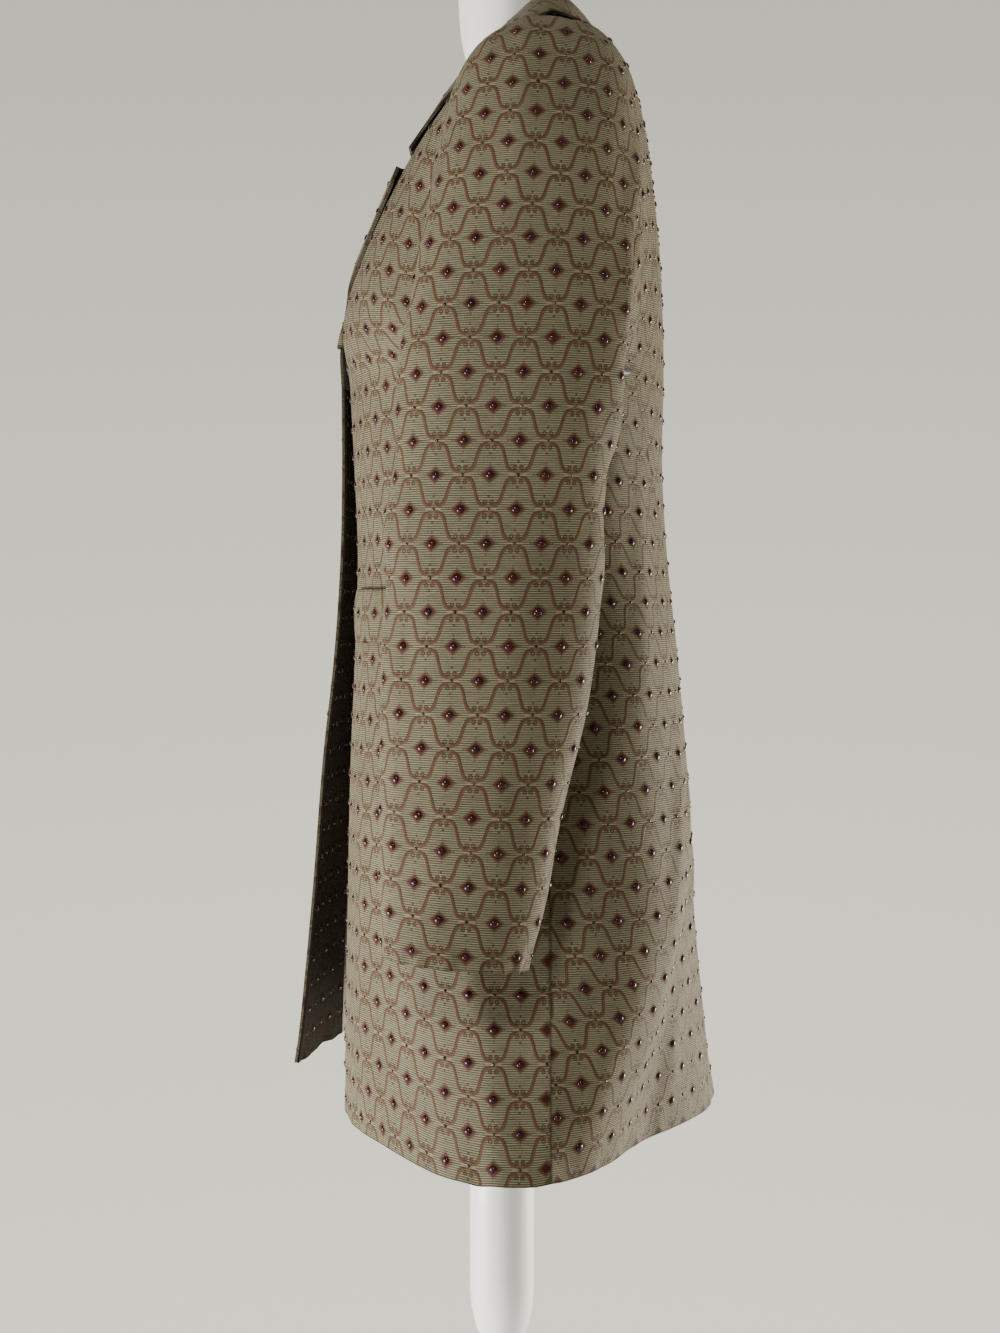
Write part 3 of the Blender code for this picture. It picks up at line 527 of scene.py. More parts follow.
class Body:
    """The coat from the hem to the underarm: level rings."""

    @staticmethod
    def read(name: str, z: Any) -> Grid:
        """A column of the ring table at some heights."""
        return column(RINGS, name, z, "z")

    @staticmethod
    def depth(z: Grid, angle: Grid, side: Side) -> Grid:
        """How far folds and creases pull the cloth in.

        Args:
            z: heights.
            angle: angles round from the front.
            side: the wearer's side.

        Returns:
            Depth in metres.
        """
        degrees = np.degrees(angle)
        total = crease_depth(BODY_CREASES[side], degrees, z, (math.radians(BODY_REACH), 1.0))
        for fold in FOLDS:
            if fold.side is not side:
                continue
            down = np.clip((fold.top - z) / (fold.top - HEM_Z), 0.0, 1.0)
            centre = fold.angle_top + (fold.angle_hem - fold.angle_top) * down
            spread = fold.spread_top + (fold.spread_hem - fold.spread_top) * down
            away = np.clip((degrees - centre) / spread, -1.0, 1.0)
            total = total + fold.depth * ease(down) * np.cos(away * math.pi / 2) ** 2
        return total

    @classmethod
    def point(cls, z: Any, angle: Any, side: Side) -> Grid:
        """Points of the outer face; the angle runs from the front (0) over one side to the back (pi).

        Args:
            z: heights.
            angle: angles.
            side: the wearer's side.

        Returns:
            The points.
        """
        z, angle = np.broadcast_arrays(np.asarray(z, float), np.asarray(angle, float))
        power = 2.0 / np.where(np.cos(angle) > 0, cls.read("fullness", z), cls.read("back_fullness", z))
        across = rounded(np.sin(angle), power)
        forward = rounded(np.cos(angle), power)
        front = cls.read("left_front" if side is Side.LEFT else "right_front", z)
        middle = cls.read("middle", z)
        depth = np.where(forward > 0, middle - front, cls.read("back", z) - middle)
        x = cls.read("half_width", z) * across
        y = -depth * forward
        shrink = 1.0 - cls.depth(z, angle, side) / np.hypot(x, y)
        return np.stack((side.value * x * shrink, middle + y * shrink, z), axis=-1)

    @classmethod
    def normal(cls, z: Any, angle: Any, side: Side) -> Grid:
        """The way out of the cloth.

        Args:
            z: heights.
            angle: angles.
            side: the wearer's side.

        Returns:
            Vectors of length 1.
        """
        step = 1e-3
        level = cls.point(z, angle + step, side) - cls.point(z, angle - step, side)
        steep = cls.point(z + step, angle, side) - cls.point(z - step, angle, side)
        return unit(np.cross(level, steep) * side.value)

    @classmethod
    def angle_at(cls, z: Any, x: Any, behind: bool) -> Grid:
        """The angle where a ring is this far from the middle, in front or behind.

        Args:
            z: heights.
            x: distances from the middle.
            behind: True for the back.

        Returns:
            The angles.
        """
        share = np.clip(x / cls.read("half_width", z), 0.0, 1.0)
        angle = np.arcsin(share ** (cls.read("back_fullness" if behind else "fullness", z) / 2.0))
        return math.pi - angle if behind else angle

    @classmethod
    def front_edge(cls, side: Side) -> Callable[[Any], Grid]:
        """A front's edge, as an angle by height."""
        name = "left_edge" if side is Side.LEFT else "right_edge"
        return lambda z: cls.angle_at(z, cls.read(name, z), False)

    @classmethod
    def back_seam(cls, z: Any) -> Grid:
        """The seam between side back and back, as an angle."""
        return cls.angle_at(z, cls.read("back_seam", z), True)

    @classmethod
    def side_seam(cls, z: Any) -> Grid:
        """The side seam, as an angle.

        Args:
            z: heights.

        Returns:
            The angles.
        """
        middle = cls.read("middle", z)
        share = (SIDE_SEAM_Y - middle) / (cls.read("back", z) - middle)
        behind = np.arcsin(np.abs(share) ** (cls.read("back_fullness", z) / 2.0))
        return math.pi / 2 + behind * ease((CHEST_Z - z) / (CHEST_Z - SIDE_SEAM_Z))

    @staticmethod
    def centre_back(z: Any) -> Grid:
        """The middle of the back, as an angle."""
        return np.full(np.shape(z), math.pi)


class Patch:
    """The part of a front or back above the underarm: s runs from the middle to the armhole and t
    from the underarm to the shoulder."""

    def __init__(self, side: Side, behind: bool) -> None:
        """Sets the patch's edges.

        Args:
            side: the wearer's side.
            behind: True for the back.
        """
        self.side = side
        self.behind = behind
        if behind:
            self.angles = (math.pi, float(Body.back_seam(CHEST_Z)))
            inner, outer = CENTRE_BACK, BACK_ARMHOLE
        else:
            self.angles = (float(Body.front_edge(side)(CHEST_Z)), math.pi / 2)
            inner, outer = ROLL_LINE, FRONT_ARMHOLE
        feet = self.foot(np.array((0.0, 1.0)))
        self.inner = np.array([feet[0], *mirrored(inner, side)])
        if not behind:
            self.inner = np.vstack((self.inner, mirrored(NECK_POINT, side)))
        if side is Side.RIGHT and not behind:
            fall = ROLL_LINE[3].z - ROLL_LINE[0].z
            rest = np.clip((ROLL_LINE[3].z - self.inner[1:, 2]) / fall, 0, 1)
            self.inner[1:, 1] -= RIGHT_LAP * rest
        self.outer = np.array([feet[1], *mirrored(outer, side), mirrored(SHOULDER_TIP, side)])

    def foot(self, s: Grid) -> Grid:
        """The lower edge, on the ring at the underarm."""
        angles = self.angles[0] + (self.angles[1] - self.angles[0]) * s
        return Body.point(CHEST_Z, angles, self.side)

    def rise(self, s: Grid) -> Grid:
        """The way that the cloth leaves the lower edge.

        Args:
            s: shares of the width.

        Returns:
            The ways up.
        """
        angles = self.angles[0] + (self.angles[1] - self.angles[0]) * s
        step = 0.02
        climb = Body.point(CHEST_Z, angles, self.side) - Body.point(CHEST_Z - step, angles, self.side)
        return climb / step * PATCH_RISE

    def top(self, s: Grid) -> Grid:
        """The upper edge: the shoulder, after the neckline on the back.

        Args:
            s: shares of the width.

        Returns:
            Points of the edge.
        """
        tip = mirrored(SHOULDER_TIP, self.side)
        neck = mirrored(NECK_POINT, self.side)
        if not self.behind:
            return neck + (tip - neck) * s[..., None]
        turn = np.clip(s / NECK_SHARE, 0.0, 1.0)[..., None] * math.pi / 2
        nape = self.inner[-1]
        x = neck[0] * np.sin(turn)
        y = neck[1] + (nape[1] - neck[1]) * np.cos(turn)
        z = nape[2] + (neck[2] - nape[2]) * np.sin(turn)
        rest = np.clip((s - NECK_SHARE) / (1.0 - NECK_SHARE), 0.0, 1.0)[..., None]
        curve = np.concatenate((x, y, z), axis=-1)
        return np.where(s[..., None] <= NECK_SHARE, curve, neck + (tip - neck) * rest)

    def guide(self, s: Grid) -> Grid:
        """The upper edge without the neckline's corner.

        Args:
            s: shares of the width.

        Returns:
            Points of the edge.
        """
        if not self.behind:
            return self.top(s)
        tip = mirrored(SHOULDER_TIP, self.side)
        neck = mirrored(NECK_POINT, self.side)
        points = (neck * (-1.0, 1.0, 1.0), self.inner[-1], neck, tip)
        return spline((-NECK_SHARE, 0.0, NECK_SHARE, 1.0), points, s)

    def point(self, s: Any, t: Any) -> Grid:
        """Points of the outer face.

        Args:
            s: shares from the middle to the armhole.
            t: shares upward.

        Returns:
            The points.
        """
        s, t = np.broadcast_arrays(np.asarray(s, float), np.asarray(t, float))
        step = 1e-3
        ends = np.array((1.0 - step, 1.0))
        inner_end = np.diff(along(self.inner, ends), axis=0)[0] / step
        outer_end = np.diff(along(self.outer, ends), axis=0)[0] / step

        def column_at(share: Grid) -> Grid:
            """The cloth's way up at one share of its width.

            Args:
                share: shares of the width.

            Returns:
                The points.
            """
            u = t[..., None]
            across = share[..., None]
            arrive = inner_end + (outer_end - inner_end) * across
            if self.behind:
                arrive = arrive + UPPER_BACK * np.sin(math.pi * across) ** 2
            guide = self.guide(share)
            way = hermite(u, self.foot(share), self.rise(share), guide, arrive)
            return way + u**NECK_FADE * (self.top(share) - guide)

        near = along(self.inner, t) - column_at(np.zeros(s.shape))
        far = along(self.outer, t) - column_at(np.ones(s.shape))
        return column_at(s) + (1.0 - s[..., None]) * near + s[..., None] * far

    def normal(self, s: Any, t: Any) -> Grid:
        """The way out of the cloth; on the shoulder seam it is the same for front and back.

        Args:
            s: shares from the middle to the armhole.
            t: shares upward.

        Returns:
            Vectors of length 1.
        """
        step = 0.004
        s, t = np.broadcast_arrays(np.asarray(s, float), np.asarray(t, float))
        low_s, high_s = np.clip(s - step, 0, 1), np.clip(s + step, 0, 1)
        low_t, high_t = np.clip(t - step, 0, 1), np.clip(t + step, 0, 1)
        across = self.point(high_s, t) - self.point(low_s, t)
        upward = self.point(s, high_t) - self.point(s, low_t)
        normal = unit(np.cross(across, upward) * self.side.value * (-1 if self.behind else 1))
        seam = mirrored(SHOULDER_TIP - NECK_POINT, self.side)
        ridge = unit(np.cross(seam, (0.0, 1.0, 0.0)) * self.side.value)
        near = 1e-3
        on_seam = (t > 1.0 - near) & ((s > NECK_SHARE - near) | (not self.behind))
        return np.where(on_seam[..., None], ridge, normal)

    def creased(self, s: Grid, t: Grid) -> tuple[Grid, Grid]:
        """Points of the outer face with its creases, and the way out of the cloth there.

        Args:
            s: shares from the middle to the armhole.
            t: shares upward.

        Returns:
            Points and vectors.
        """
        normals = self.normal(s, t)
        creases = BACK_CREASES if self.behind else FRONT_CREASES
        depth = crease_depth(creases, s, t, PATCH_REACH) * np.sin(math.pi * t)
        return self.point(s, t) - depth[..., None] * normals, normals


class Value:
    """A number that varies over a surface: a socket of a shader tree, with arithmetic."""

    def __init__(self, tree: NodeTree, socket: Any) -> None:
        """Holds a socket, or a plain number, of a tree."""
        self.tree = tree
        self.socket = socket

    def math(self, operation: str, *others: Any, clamp: bool = False) -> "Value":
        """This value and others through one Math node.

        Args:
            operation: the node's operation.
            others: values or plain numbers.
            clamp: True to keep the result between 0 and 1.

        Returns:
            The result.
        """
        node = self.tree.nodes.new("ShaderNodeMath")
        node.operation = operation
        node.use_clamp = clamp
        for index, item in enumerate((self, *others)):
            source = item.socket if isinstance(item, Value) else item
            if isinstance(source, (int, float)):
                node.inputs[index].default_value = source
            else:
                self.tree.links.new(source, node.inputs[index])
        return Value(self.tree, node.outputs[0])

    def __add__(self, other: Any) -> "Value":
        """Sum."""
        return self.math("ADD", other)

    def __sub__(self, other: Any) -> "Value":
        """Difference."""
        return self.math("SUBTRACT", other)

    def __mul__(self, other: Any) -> "Value":
        """Product."""
        return self.math("MULTIPLY", other)

    def __truediv__(self, other: Any) -> "Value":
        """Quotient."""
        return self.math("DIVIDE", other)

    def less_from(self, whole: float) -> "Value":
        """What is left of a whole when this is taken away."""
        return Value(self.tree, whole).math("SUBTRACT", self)

    def smallest(self, *others: "Value") -> "Value":
        """The least of this and others.

        Args:
            others: values of the same tree.

        Returns:
            The least value.
        """
        found = self
        for other in others:
            found = found.math("MINIMUM", other)
        return found

    def within(self, limit: float, soft: float) -> "Value":
        """1 where this is well below a limit and 0 well above it, with a soft edge."""
        return ((self - limit) / soft).less_from(0.5).clamped()

    def clamped(self) -> "Value":
        """This value, kept between 0 and 1."""
        return self.math("ADD", 0.0, clamp=True)


def new_shader(name: str) -> tuple[Material, NodeTree, Node]:
    """A new material with its tree and main shader.

    Args:
        name: the material's name.

    Returns:
        The material, its node tree and the shader's node.
    """
    material = bpy.data.materials.new(name)
    material.use_nodes = True
    tree = material.node_tree
    return material, tree, tree.nodes["Principled BSDF"]


def emboss(shader: Node, height: Value, strength: float, distance: float) -> None:
    """Gives a shader the relief of a height.

    Args:
        shader: the shader's node.
        height: the height, in the same tree.
        strength: how much of the relief shows.
        distance: metres for a height of 1.
    """
    links = height.tree.links
    bump = height.tree.nodes.new("ShaderNodeBump")
    bump.inputs["Strength"].default_value = strength
    bump.inputs["Distance"].default_value = distance
    links.new(height.socket, bump.inputs["Height"])
    links.new(bump.outputs["Normal"], shader.inputs["Normal"])


def set_sockets(shader: Node, values: dict[str, Any]) -> None:
    """Sets sockets of a shader to constant values."""
    for name, value in values.items():
        shader.inputs[name].default_value = value


def in_scene(name: str, data: Any) -> Object:
    """A new object in the scene.

    Args:
        name: the object's name.
        data: its mesh, light or camera.

    Returns:
        The object.
    """
    made = bpy.data.objects.new(name, data)
    bpy.context.scene.collection.objects.link(made)
    return made


class Mark(NamedTuple):
    """A small round mark of the weave: its place from a corner of the cell and its radius."""

    x: float
    y: float
    radius: float = 0.0


Corners = tuple[tuple[Value, Value], tuple[Value, Value]]


@dataclass(frozen=True)
class Brocade:
    """The coat's cloth: a ribbed silk ground with a brown ogee trellis, scrolls, and red-brown
    diamonds. Sizes are millimetres on the flat cloth. An edge is where a mark ends and how soft."""

    # Ground colours: the two ends of the painted light and shade on the ribs, and of the threads' own uneven
    # tone.
    ground: Triple = (0.212, 0.190, 0.124)
    ground_dark: Triple = (0.040, 0.038, 0.024)
    line: Triple = (0.100, 0.049, 0.028)
    line_dark: Triple = (0.050, 0.025, 0.015)
    diamond: Triple = (0.068, 0.026, 0.017)
    heart: Triple = (0.032, 0.008, 0.007)
    cream: Triple = (0.22, 0.18, 0.115)
    # Near-black painted shade, laid along every piece's edge for the shadow in the seam grooves.
    seam: Triple = (0.023, 0.019, 0.012)
    sheen: float = 0.015
    specular: float = 0.06
    sheen_roughness: float = 0.38
    sheen_tint: Triple = (1.0, 0.90, 0.74)
    pitch_u: float = 16.5
    pitch_v: float = 20.25
    rib: float = 1.38
    bend: float = 2.55
    neck: Mark = Mark(0.0, 1.85)
    stroke: float = 1.15
    stroke_soft: float = 0.55
    crossing_edge: Pair = (1.7, 1.4)
    bright_edge: Pair = (0.25, 0.8)
    scroll: Mark = Mark(1.9, 4.2, 0.95)
    scroll_stroke: float = 0.50
    scroll_soft: float = 0.5
    tip: Mark = Mark(0.0, 7.7, 0.75)
    point: Mark = Mark(0.0, 6.8, 0.42)
    end: Mark = Mark(6.9, 0.0, 0.42)
    stem: Mark = Mark(0.0, 5.8, 0.40)
    dash: Triple = (3.1, 1.8, 0.45)
    dash_soft: float = 0.4
    diamond_size: Pair = (6.2, 5.7)
    diamond_edge: Pair = (0.96, 0.34)
    heart_edge: Pair = (0.56, 0.40)
    wobble_scale: float = 420.0
    wobble: Pair = (0.55, 0.5)
    thread_scale: float = 900.0
    broad_scale: float = 9.0
    slub_scale: Triple = (110.0, 850.0, 1.0)
    seam_reach: float = 0.0016
    pucker_reach: float = 0.014
    pucker_scale: float = 75.0
    pucker_rise: float = 2.2
    relief: Pair = (0.75, 0.0006)

    def material(self, name: str) -> Material:
        """Builds the shader tree.

        Args:
            name: the material's name.

        Returns:
            The finished material.
        """
        material, tree, shader = new_shader(name)
        place = tree.nodes.new("ShaderNodeUVMap")
        place.uv_map = "UVMap"
        flat = place.outputs["UV"]
        wobble = self.noise(tree, flat, self.wobble_scale, 2.0) - 0.5
        apart = tree.nodes.new("ShaderNodeSeparateXYZ")
        tree.links.new(flat, apart.inputs[0])
        across = Value(tree, apart.outputs["X"]) * 1000.0 + wobble * self.wobble[0]
        upward = Value(tree, apart.outputs["Y"]) * 1000.0
        ribs = (upward * (2 * math.pi / self.rib)).math("SINE")
        marks = self.marks(across, upward + wobble * self.wobble[1])
        thread = self.noise(tree, flat, self.thread_scale, 3.0)
        colour = self.colours(tree, flat, ribs, marks, thread)
        tree.links.new(colour, shader.inputs["Base Color"])
        height = ribs * 0.16 + marks["line"] * 0.40 + marks["diamond"] * 0.4 + thread * 0.25
        emboss(shader, height + self.pucker(tree, flat), *self.relief)
        rough = marks["line"] * -0.10 + thread * 0.16 + 0.52
        tree.links.new(rough.socket, shader.inputs["Roughness"])
        constant = {
            "Specular IOR Level": self.specular,
            "Sheen Weight": self.sheen,
            "Sheen Roughness": self.sheen_roughness,
            "Sheen Tint": (*self.sheen_tint, 1.0),
        }
        set_sockets(shader, constant)
        return material

    def colours(
        self, tree: NodeTree, flat: Any, ribs: Value, marks: dict[str, Value], thread: Value
    ) -> Any:
        """The cloth's colour: the ground with each mark laid over the last.

        Args:
            tree: the shader's tree.
            flat: socket of the flat coordinates.
            ribs: the ribs, from -1 to 1.
            marks: masks of the woven motifs.
            thread: fine unevenness.

        Returns:
            The colour's socket.
        """
        broad = self.noise(tree, flat, self.broad_scale, 3.0)
        slub = self.slub(tree, flat)
        uneven = (thread - 0.5) * 0.55 + (broad - 0.5) * 0.55 + (slub - 0.5) * 0.7
        # The ribs are painted light and shade, with lit crests and shaded furrows, over the threads' own
        # uneven tone; the trellis line takes a little of it too.
        rib_light_and_tone = (ribs * (slub * 0.6 + 0.24) + uneven + 0.5).clamped()
        tone = (marks["bright"] * 0.7 + (thread - 0.5) * 1.2 + ribs * 0.12 + 0.1).clamped()
        layers = (
            (marks["line"] * 0.90, self.mix(tree, tone, self.line_dark, self.line)),
            (marks["scroll"] * (slub * 0.4 + 0.62), self.line_dark),
            (marks["diamond"] * 0.85, self.diamond),
            (marks["heart"], self.heart),
            (marks["dash"] * 0.70, self.cream),
            # Painted shade along every piece's edge, for the shadow in the seam grooves.
            (self.near_seam(tree, self.seam_reach) * 0.65, self.seam),
        )
        colour = self.mix(tree, rib_light_and_tone, self.ground_dark, self.ground)
        for mask, over in layers:
            colour = self.mix(tree, mask, colour, over)
        return colour

    def marks(self, across: Value, upward: Value) -> dict[str, Value]:
        """The woven motifs as masks.

        Args:
            across: millimetres across the flat cloth.
            upward: millimetres along it.

        Returns:
            Masks of the trellis, its bright side, its scrolls, the diamonds, their dark hearts and
            the pale dashes.
        """
        wide, high = self.pitch_u, self.pitch_v
        cell_u = (across / wide).math("FLOOR")
        cell_v = (upward / high).math("FLOOR")
        odd = (cell_u + cell_v).math("FLOORED_MODULO", 2.0)
        part = across / wide - cell_u
        x = (part + odd * (part * 2.0).less_from(1.0)) * wide
        y = (upward / high - cell_v) * high
        bend = ((x - wide / 2) / self.bend).math("TANH")
        swing = high / 2 - self.neck.y
        steep = (bend * bend).less_from(1.0) * (swing / self.bend)
        aside = (y - high / 2 + bend * swing) / (steep * steep + 1.0).math("SQRT")
        right = x.less_from(wide)
        top = y.less_from(high)
        crossings = ((right, y), (x, top))
        middles = ((x, y), (right, top))
        line = (aside.math("ABSOLUTE") - self.stroke).within(0.0, self.stroke_soft)
        at_crossing = self.spot(self.neck, crossings).within(*self.crossing_edge)
        small = (
            self.spot(self.tip, crossings),
            self.spot(self.point, middles),
            self.spot(self.end, middles),
        )
        scroll = self.ring(self.scroll, crossings) - self.scroll_stroke
        wide, high = self.diamond_size
        diamond = (x / wide + y / high).smallest(right / wide + top / high)
        dash = self.box(*crossings[0]).smallest(self.box(*crossings[1]), self.spot(self.stem, crossings))
        return {
            "line": line * (at_crossing * 0.5).less_from(1.0),
            "bright": aside.within(*self.bright_edge),
            "scroll": scroll.smallest(*small).within(0.0, self.scroll_soft),
            "diamond": diamond.within(*self.diamond_edge),
            "heart": diamond.within(*self.heart_edge),
            "dash": dash.within(0.0, self.dash_soft),
        }

    @staticmethod
    def away(mark: Mark, corner: tuple[Value, Value]) -> Value:
        """Distance from a mark's middle, from one corner of the cell."""
        aside, above = corner[0] - mark.x, corner[1] - mark.y
        return (aside * aside + above * above).math("SQRT")

    @classmethod
    def spot(cls, mark: Mark, corners: Corners) -> Value:
        """Distance from a round mark's edge, at the nearer of two corners."""
        return cls.away(mark, corners[0]).smallest(cls.away(mark, corners[1])) - mark.radius

    @classmethod
    def ring(cls, mark: Mark, corners: Corners) -> Value:
        """Distance from a small scroll's line, at the nearer of two corners."""
        near, far = ((cls.away(mark, corner) - mark.radius).math("ABSOLUTE") for corner in corners)
        return near.smallest(far)

    def box(self, x: Value, y: Value) -> Value:
        """Distance from the short dash beside a trellis crossing."""
        place, half_length, half_width = self.dash
        return ((x - place).math("ABSOLUTE") - half_length).math("MAXIMUM", y - half_width)

    @staticmethod
    def noise(tree: NodeTree, place: Any, scale: float, detail: float) -> Value:
        """Fine uneven value from 0 to 1 on the flat cloth.

        Args:
            tree: the shader's tree.
            place: socket of the coordinates.
            scale: spots in a metre.
            detail: finer layers.

        Returns:
            The value.
        """
        node = tree.nodes.new("ShaderNodeTexNoise")
        node.inputs["Scale"].default_value = scale
        node.inputs["Detail"].default_value = detail
        tree.links.new(place, node.inputs["Vector"])
        return Value(tree, node.outputs[0])

    def slub(self, tree: NodeTree, place: Any) -> Value:
        """Uneven value drawn out along the ribs.

        Args:
            tree: the shader's tree.
            place: socket of the coordinates.

        Returns:
            The value.
        """
        stretch = tree.nodes.new("ShaderNodeVectorMath")
        stretch.operation = "MULTIPLY"
        stretch.inputs[1].default_value = self.slub_scale
        tree.links.new(place, stretch.inputs[0])
        return self.noise(tree, stretch.outputs[0], 1.0, 2.0)

    @staticmethod
    def near_seam(tree: NodeTree, reach: float) -> Value:
        """1 on the piece's edge, down to 0 at a distance from it.

        Args:
            tree: the shader's tree.
            reach: that distance.

        Returns:
            The value.
        """
        seam = tree.nodes.new("ShaderNodeAttribute")
        seam.attribute_name = "seam_distance"
        return (Value(tree, seam.outputs["Fac"]) / reach).less_from(1.0).clamped()

    def pucker(self, tree: NodeTree, place: Any) -> Value:
        """Small uneven rises beside the seams, which fade away from them."""
        uneven = self.noise(tree, place, self.pucker_scale, 1.0)
        return self.near_seam(tree, self.pucker_reach) * uneven * self.pucker_rise

    @staticmethod
    def mix(tree: NodeTree, share: Value, low: Any, high: Any) -> Any:
        """One colour over another by a mask.

        Args:
            tree: the shader's tree.
            share: the mask.
            low: colour or socket where it is 0.
            high: the same where it is 1.

        Returns:
            The mixed colour's socket.
        """
        node = tree.nodes.new("ShaderNodeMix")
        node.data_type = "RGBA"
        tree.links.new(share.socket, node.inputs["Factor"])
        sockets = {socket.identifier: socket for socket in (*node.inputs, *node.outputs)}
        for colour, target in ((low, sockets["A_Color"]), (high, sockets["B_Color"])):
            if isinstance(colour, tuple):
                target.default_value = (*colour, 1.0)
            else:
                tree.links.new(colour, target)
        return sockets["Result_Color"]


@dataclass(frozen=True)
class PlainFinish:
    """A smooth surface with a little unevenness: lining, form cover, paint and floor."""

    colour: Triple
    roughness: float
    uneven: float = 0.05
    grain: float = 120.0
    bump: float = 0.0001
    bump_strength: float = 0.4
    sheen: float = 0.0
    coat: float = 0.0
    specular: float = 0.4

    def material(self, name: str) -> Material:
        """Builds the shader tree on object coordinates.

        Args:
            name: the material's name.

        Returns:
            The finished material.
        """
        material, tree, shader = new_shader(name)
        place = tree.nodes.new("ShaderNodeTexCoord").outputs["Object"]
        noise = Brocade.noise(tree, place, self.grain, 3.0)
        dark = tuple(channel * (1.0 - self.uneven) for channel in self.colour)
        tree.links.new(Brocade.mix(tree, noise, dark, self.colour), shader.inputs["Base Color"])
        rough = noise * (2 * self.uneven) + (self.roughness - self.uneven)
        tree.links.new(rough.socket, shader.inputs["Roughness"])
        emboss(shader, noise, self.bump_strength, self.bump)
        set_sockets(shader, {"Sheen Weight": self.sheen, "Coat Weight": self.coat})
        set_sockets(shader, {"Specular IOR Level": self.specular})
        return material


@dataclass(frozen=True)
class BeadFinish:
    """Glass or metal of a bead, with a second colour in random patches; on bronze it is a paler painted
    highlight.
    """

    colour: Triple
    other: Triple
    roughness: float
    metallic: float
    specular: float
    patch_scale: float = 60.0

    def material(self, name: str) -> Material:
        """Builds the shader tree on object coordinates.

        Args:
            name: the material's name.

        Returns:
            The finished material.
        """
        material, tree, shader = new_shader(name)
        place = tree.nodes.new("ShaderNodeTexCoord").outputs["Object"]
        noise = Brocade.noise(tree, place, self.patch_scale, 1.0)
        share = (noise * 3.0 - 1.0).clamped()
        tree.links.new(Brocade.mix(tree, share, self.colour, self.other), shader.inputs["Base Color"])
        set_sockets(shader, {"Roughness": self.roughness, "Metallic": self.metallic})
        set_sockets(shader, {"Specular IOR Level": self.specular})
        return material


FACE_BROCADE = Brocade()
# The brocade with the shade inside the coat painted into its colours: a much darker copy for the facings.
SHADED_BROCADE = Brocade(
    ground=(0.026, 0.021, 0.013),
    ground_dark=(0.010, 0.008, 0.005),
    line=(0.016, 0.008, 0.005),
    line_dark=(0.008, 0.004, 0.003),
    diamond=(0.014, 0.005, 0.004),
    heart=(0.006, 0.002, 0.002),
    cream=(0.034, 0.027, 0.017),
    seam=(0.005, 0.004, 0.003),
    sheen=0.0,
    specular=0.02,
)


LINING = PlainFinish((0.050, 0.042, 0.030), 0.42, uneven=0.2, grain=60.0, bump=0.0002, sheen=0.2)
GARNET = BeadFinish((0.016, 0.002, 0.003), (0.036, 0.004, 0.005), 0.12, metallic=0.0, specular=0.30)
# The paler bronze, laid in random patches, is a painted highlight for beads that catch the light.
BRONZE = BeadFinish((0.010, 0.009, 0.006), (0.100, 0.078, 0.045), 0.18, metallic=0.5, specular=0.30)
COVER = PlainFinish((0.86, 0.86, 0.84), 0.52, uneven=0.03, grain=200.0)
PAINT = PlainFinish((0.86, 0.86, 0.85), 0.35, uneven=0.03, grain=90.0, bump=0.00005, coat=0.2)
FLOOR = PlainFinish((0.72, 0.71, 0.68), 0.9, uneven=0.02, grain=3.0, bump=0.0002, specular=0.1)


def made_once(finish: Brocade | PlainFinish | BeadFinish, name: str) -> Any:
    """A field that holds a finish's material."""
    return field(default_factory=lambda: finish.material(name))


@dataclass
class Finishes:
    """Every material of coat and stand, made once."""

    brocade: Material = made_once(FACE_BROCADE, "brocade")
    # The facings' brocade, darkened with painted shade.
    facing: Material = made_once(SHADED_BROCADE, "facing_brocade")
    lining: Material = made_once(LINING, "lining")
    garnet: Material = made_once(GARNET, "garnet_glass")
    bronze: Material = made_once(BRONZE, "bronze_bead")
    cover: Material = made_once(COVER, "form_cover")
    paint: Material = made_once(PAINT, "stand_paint")


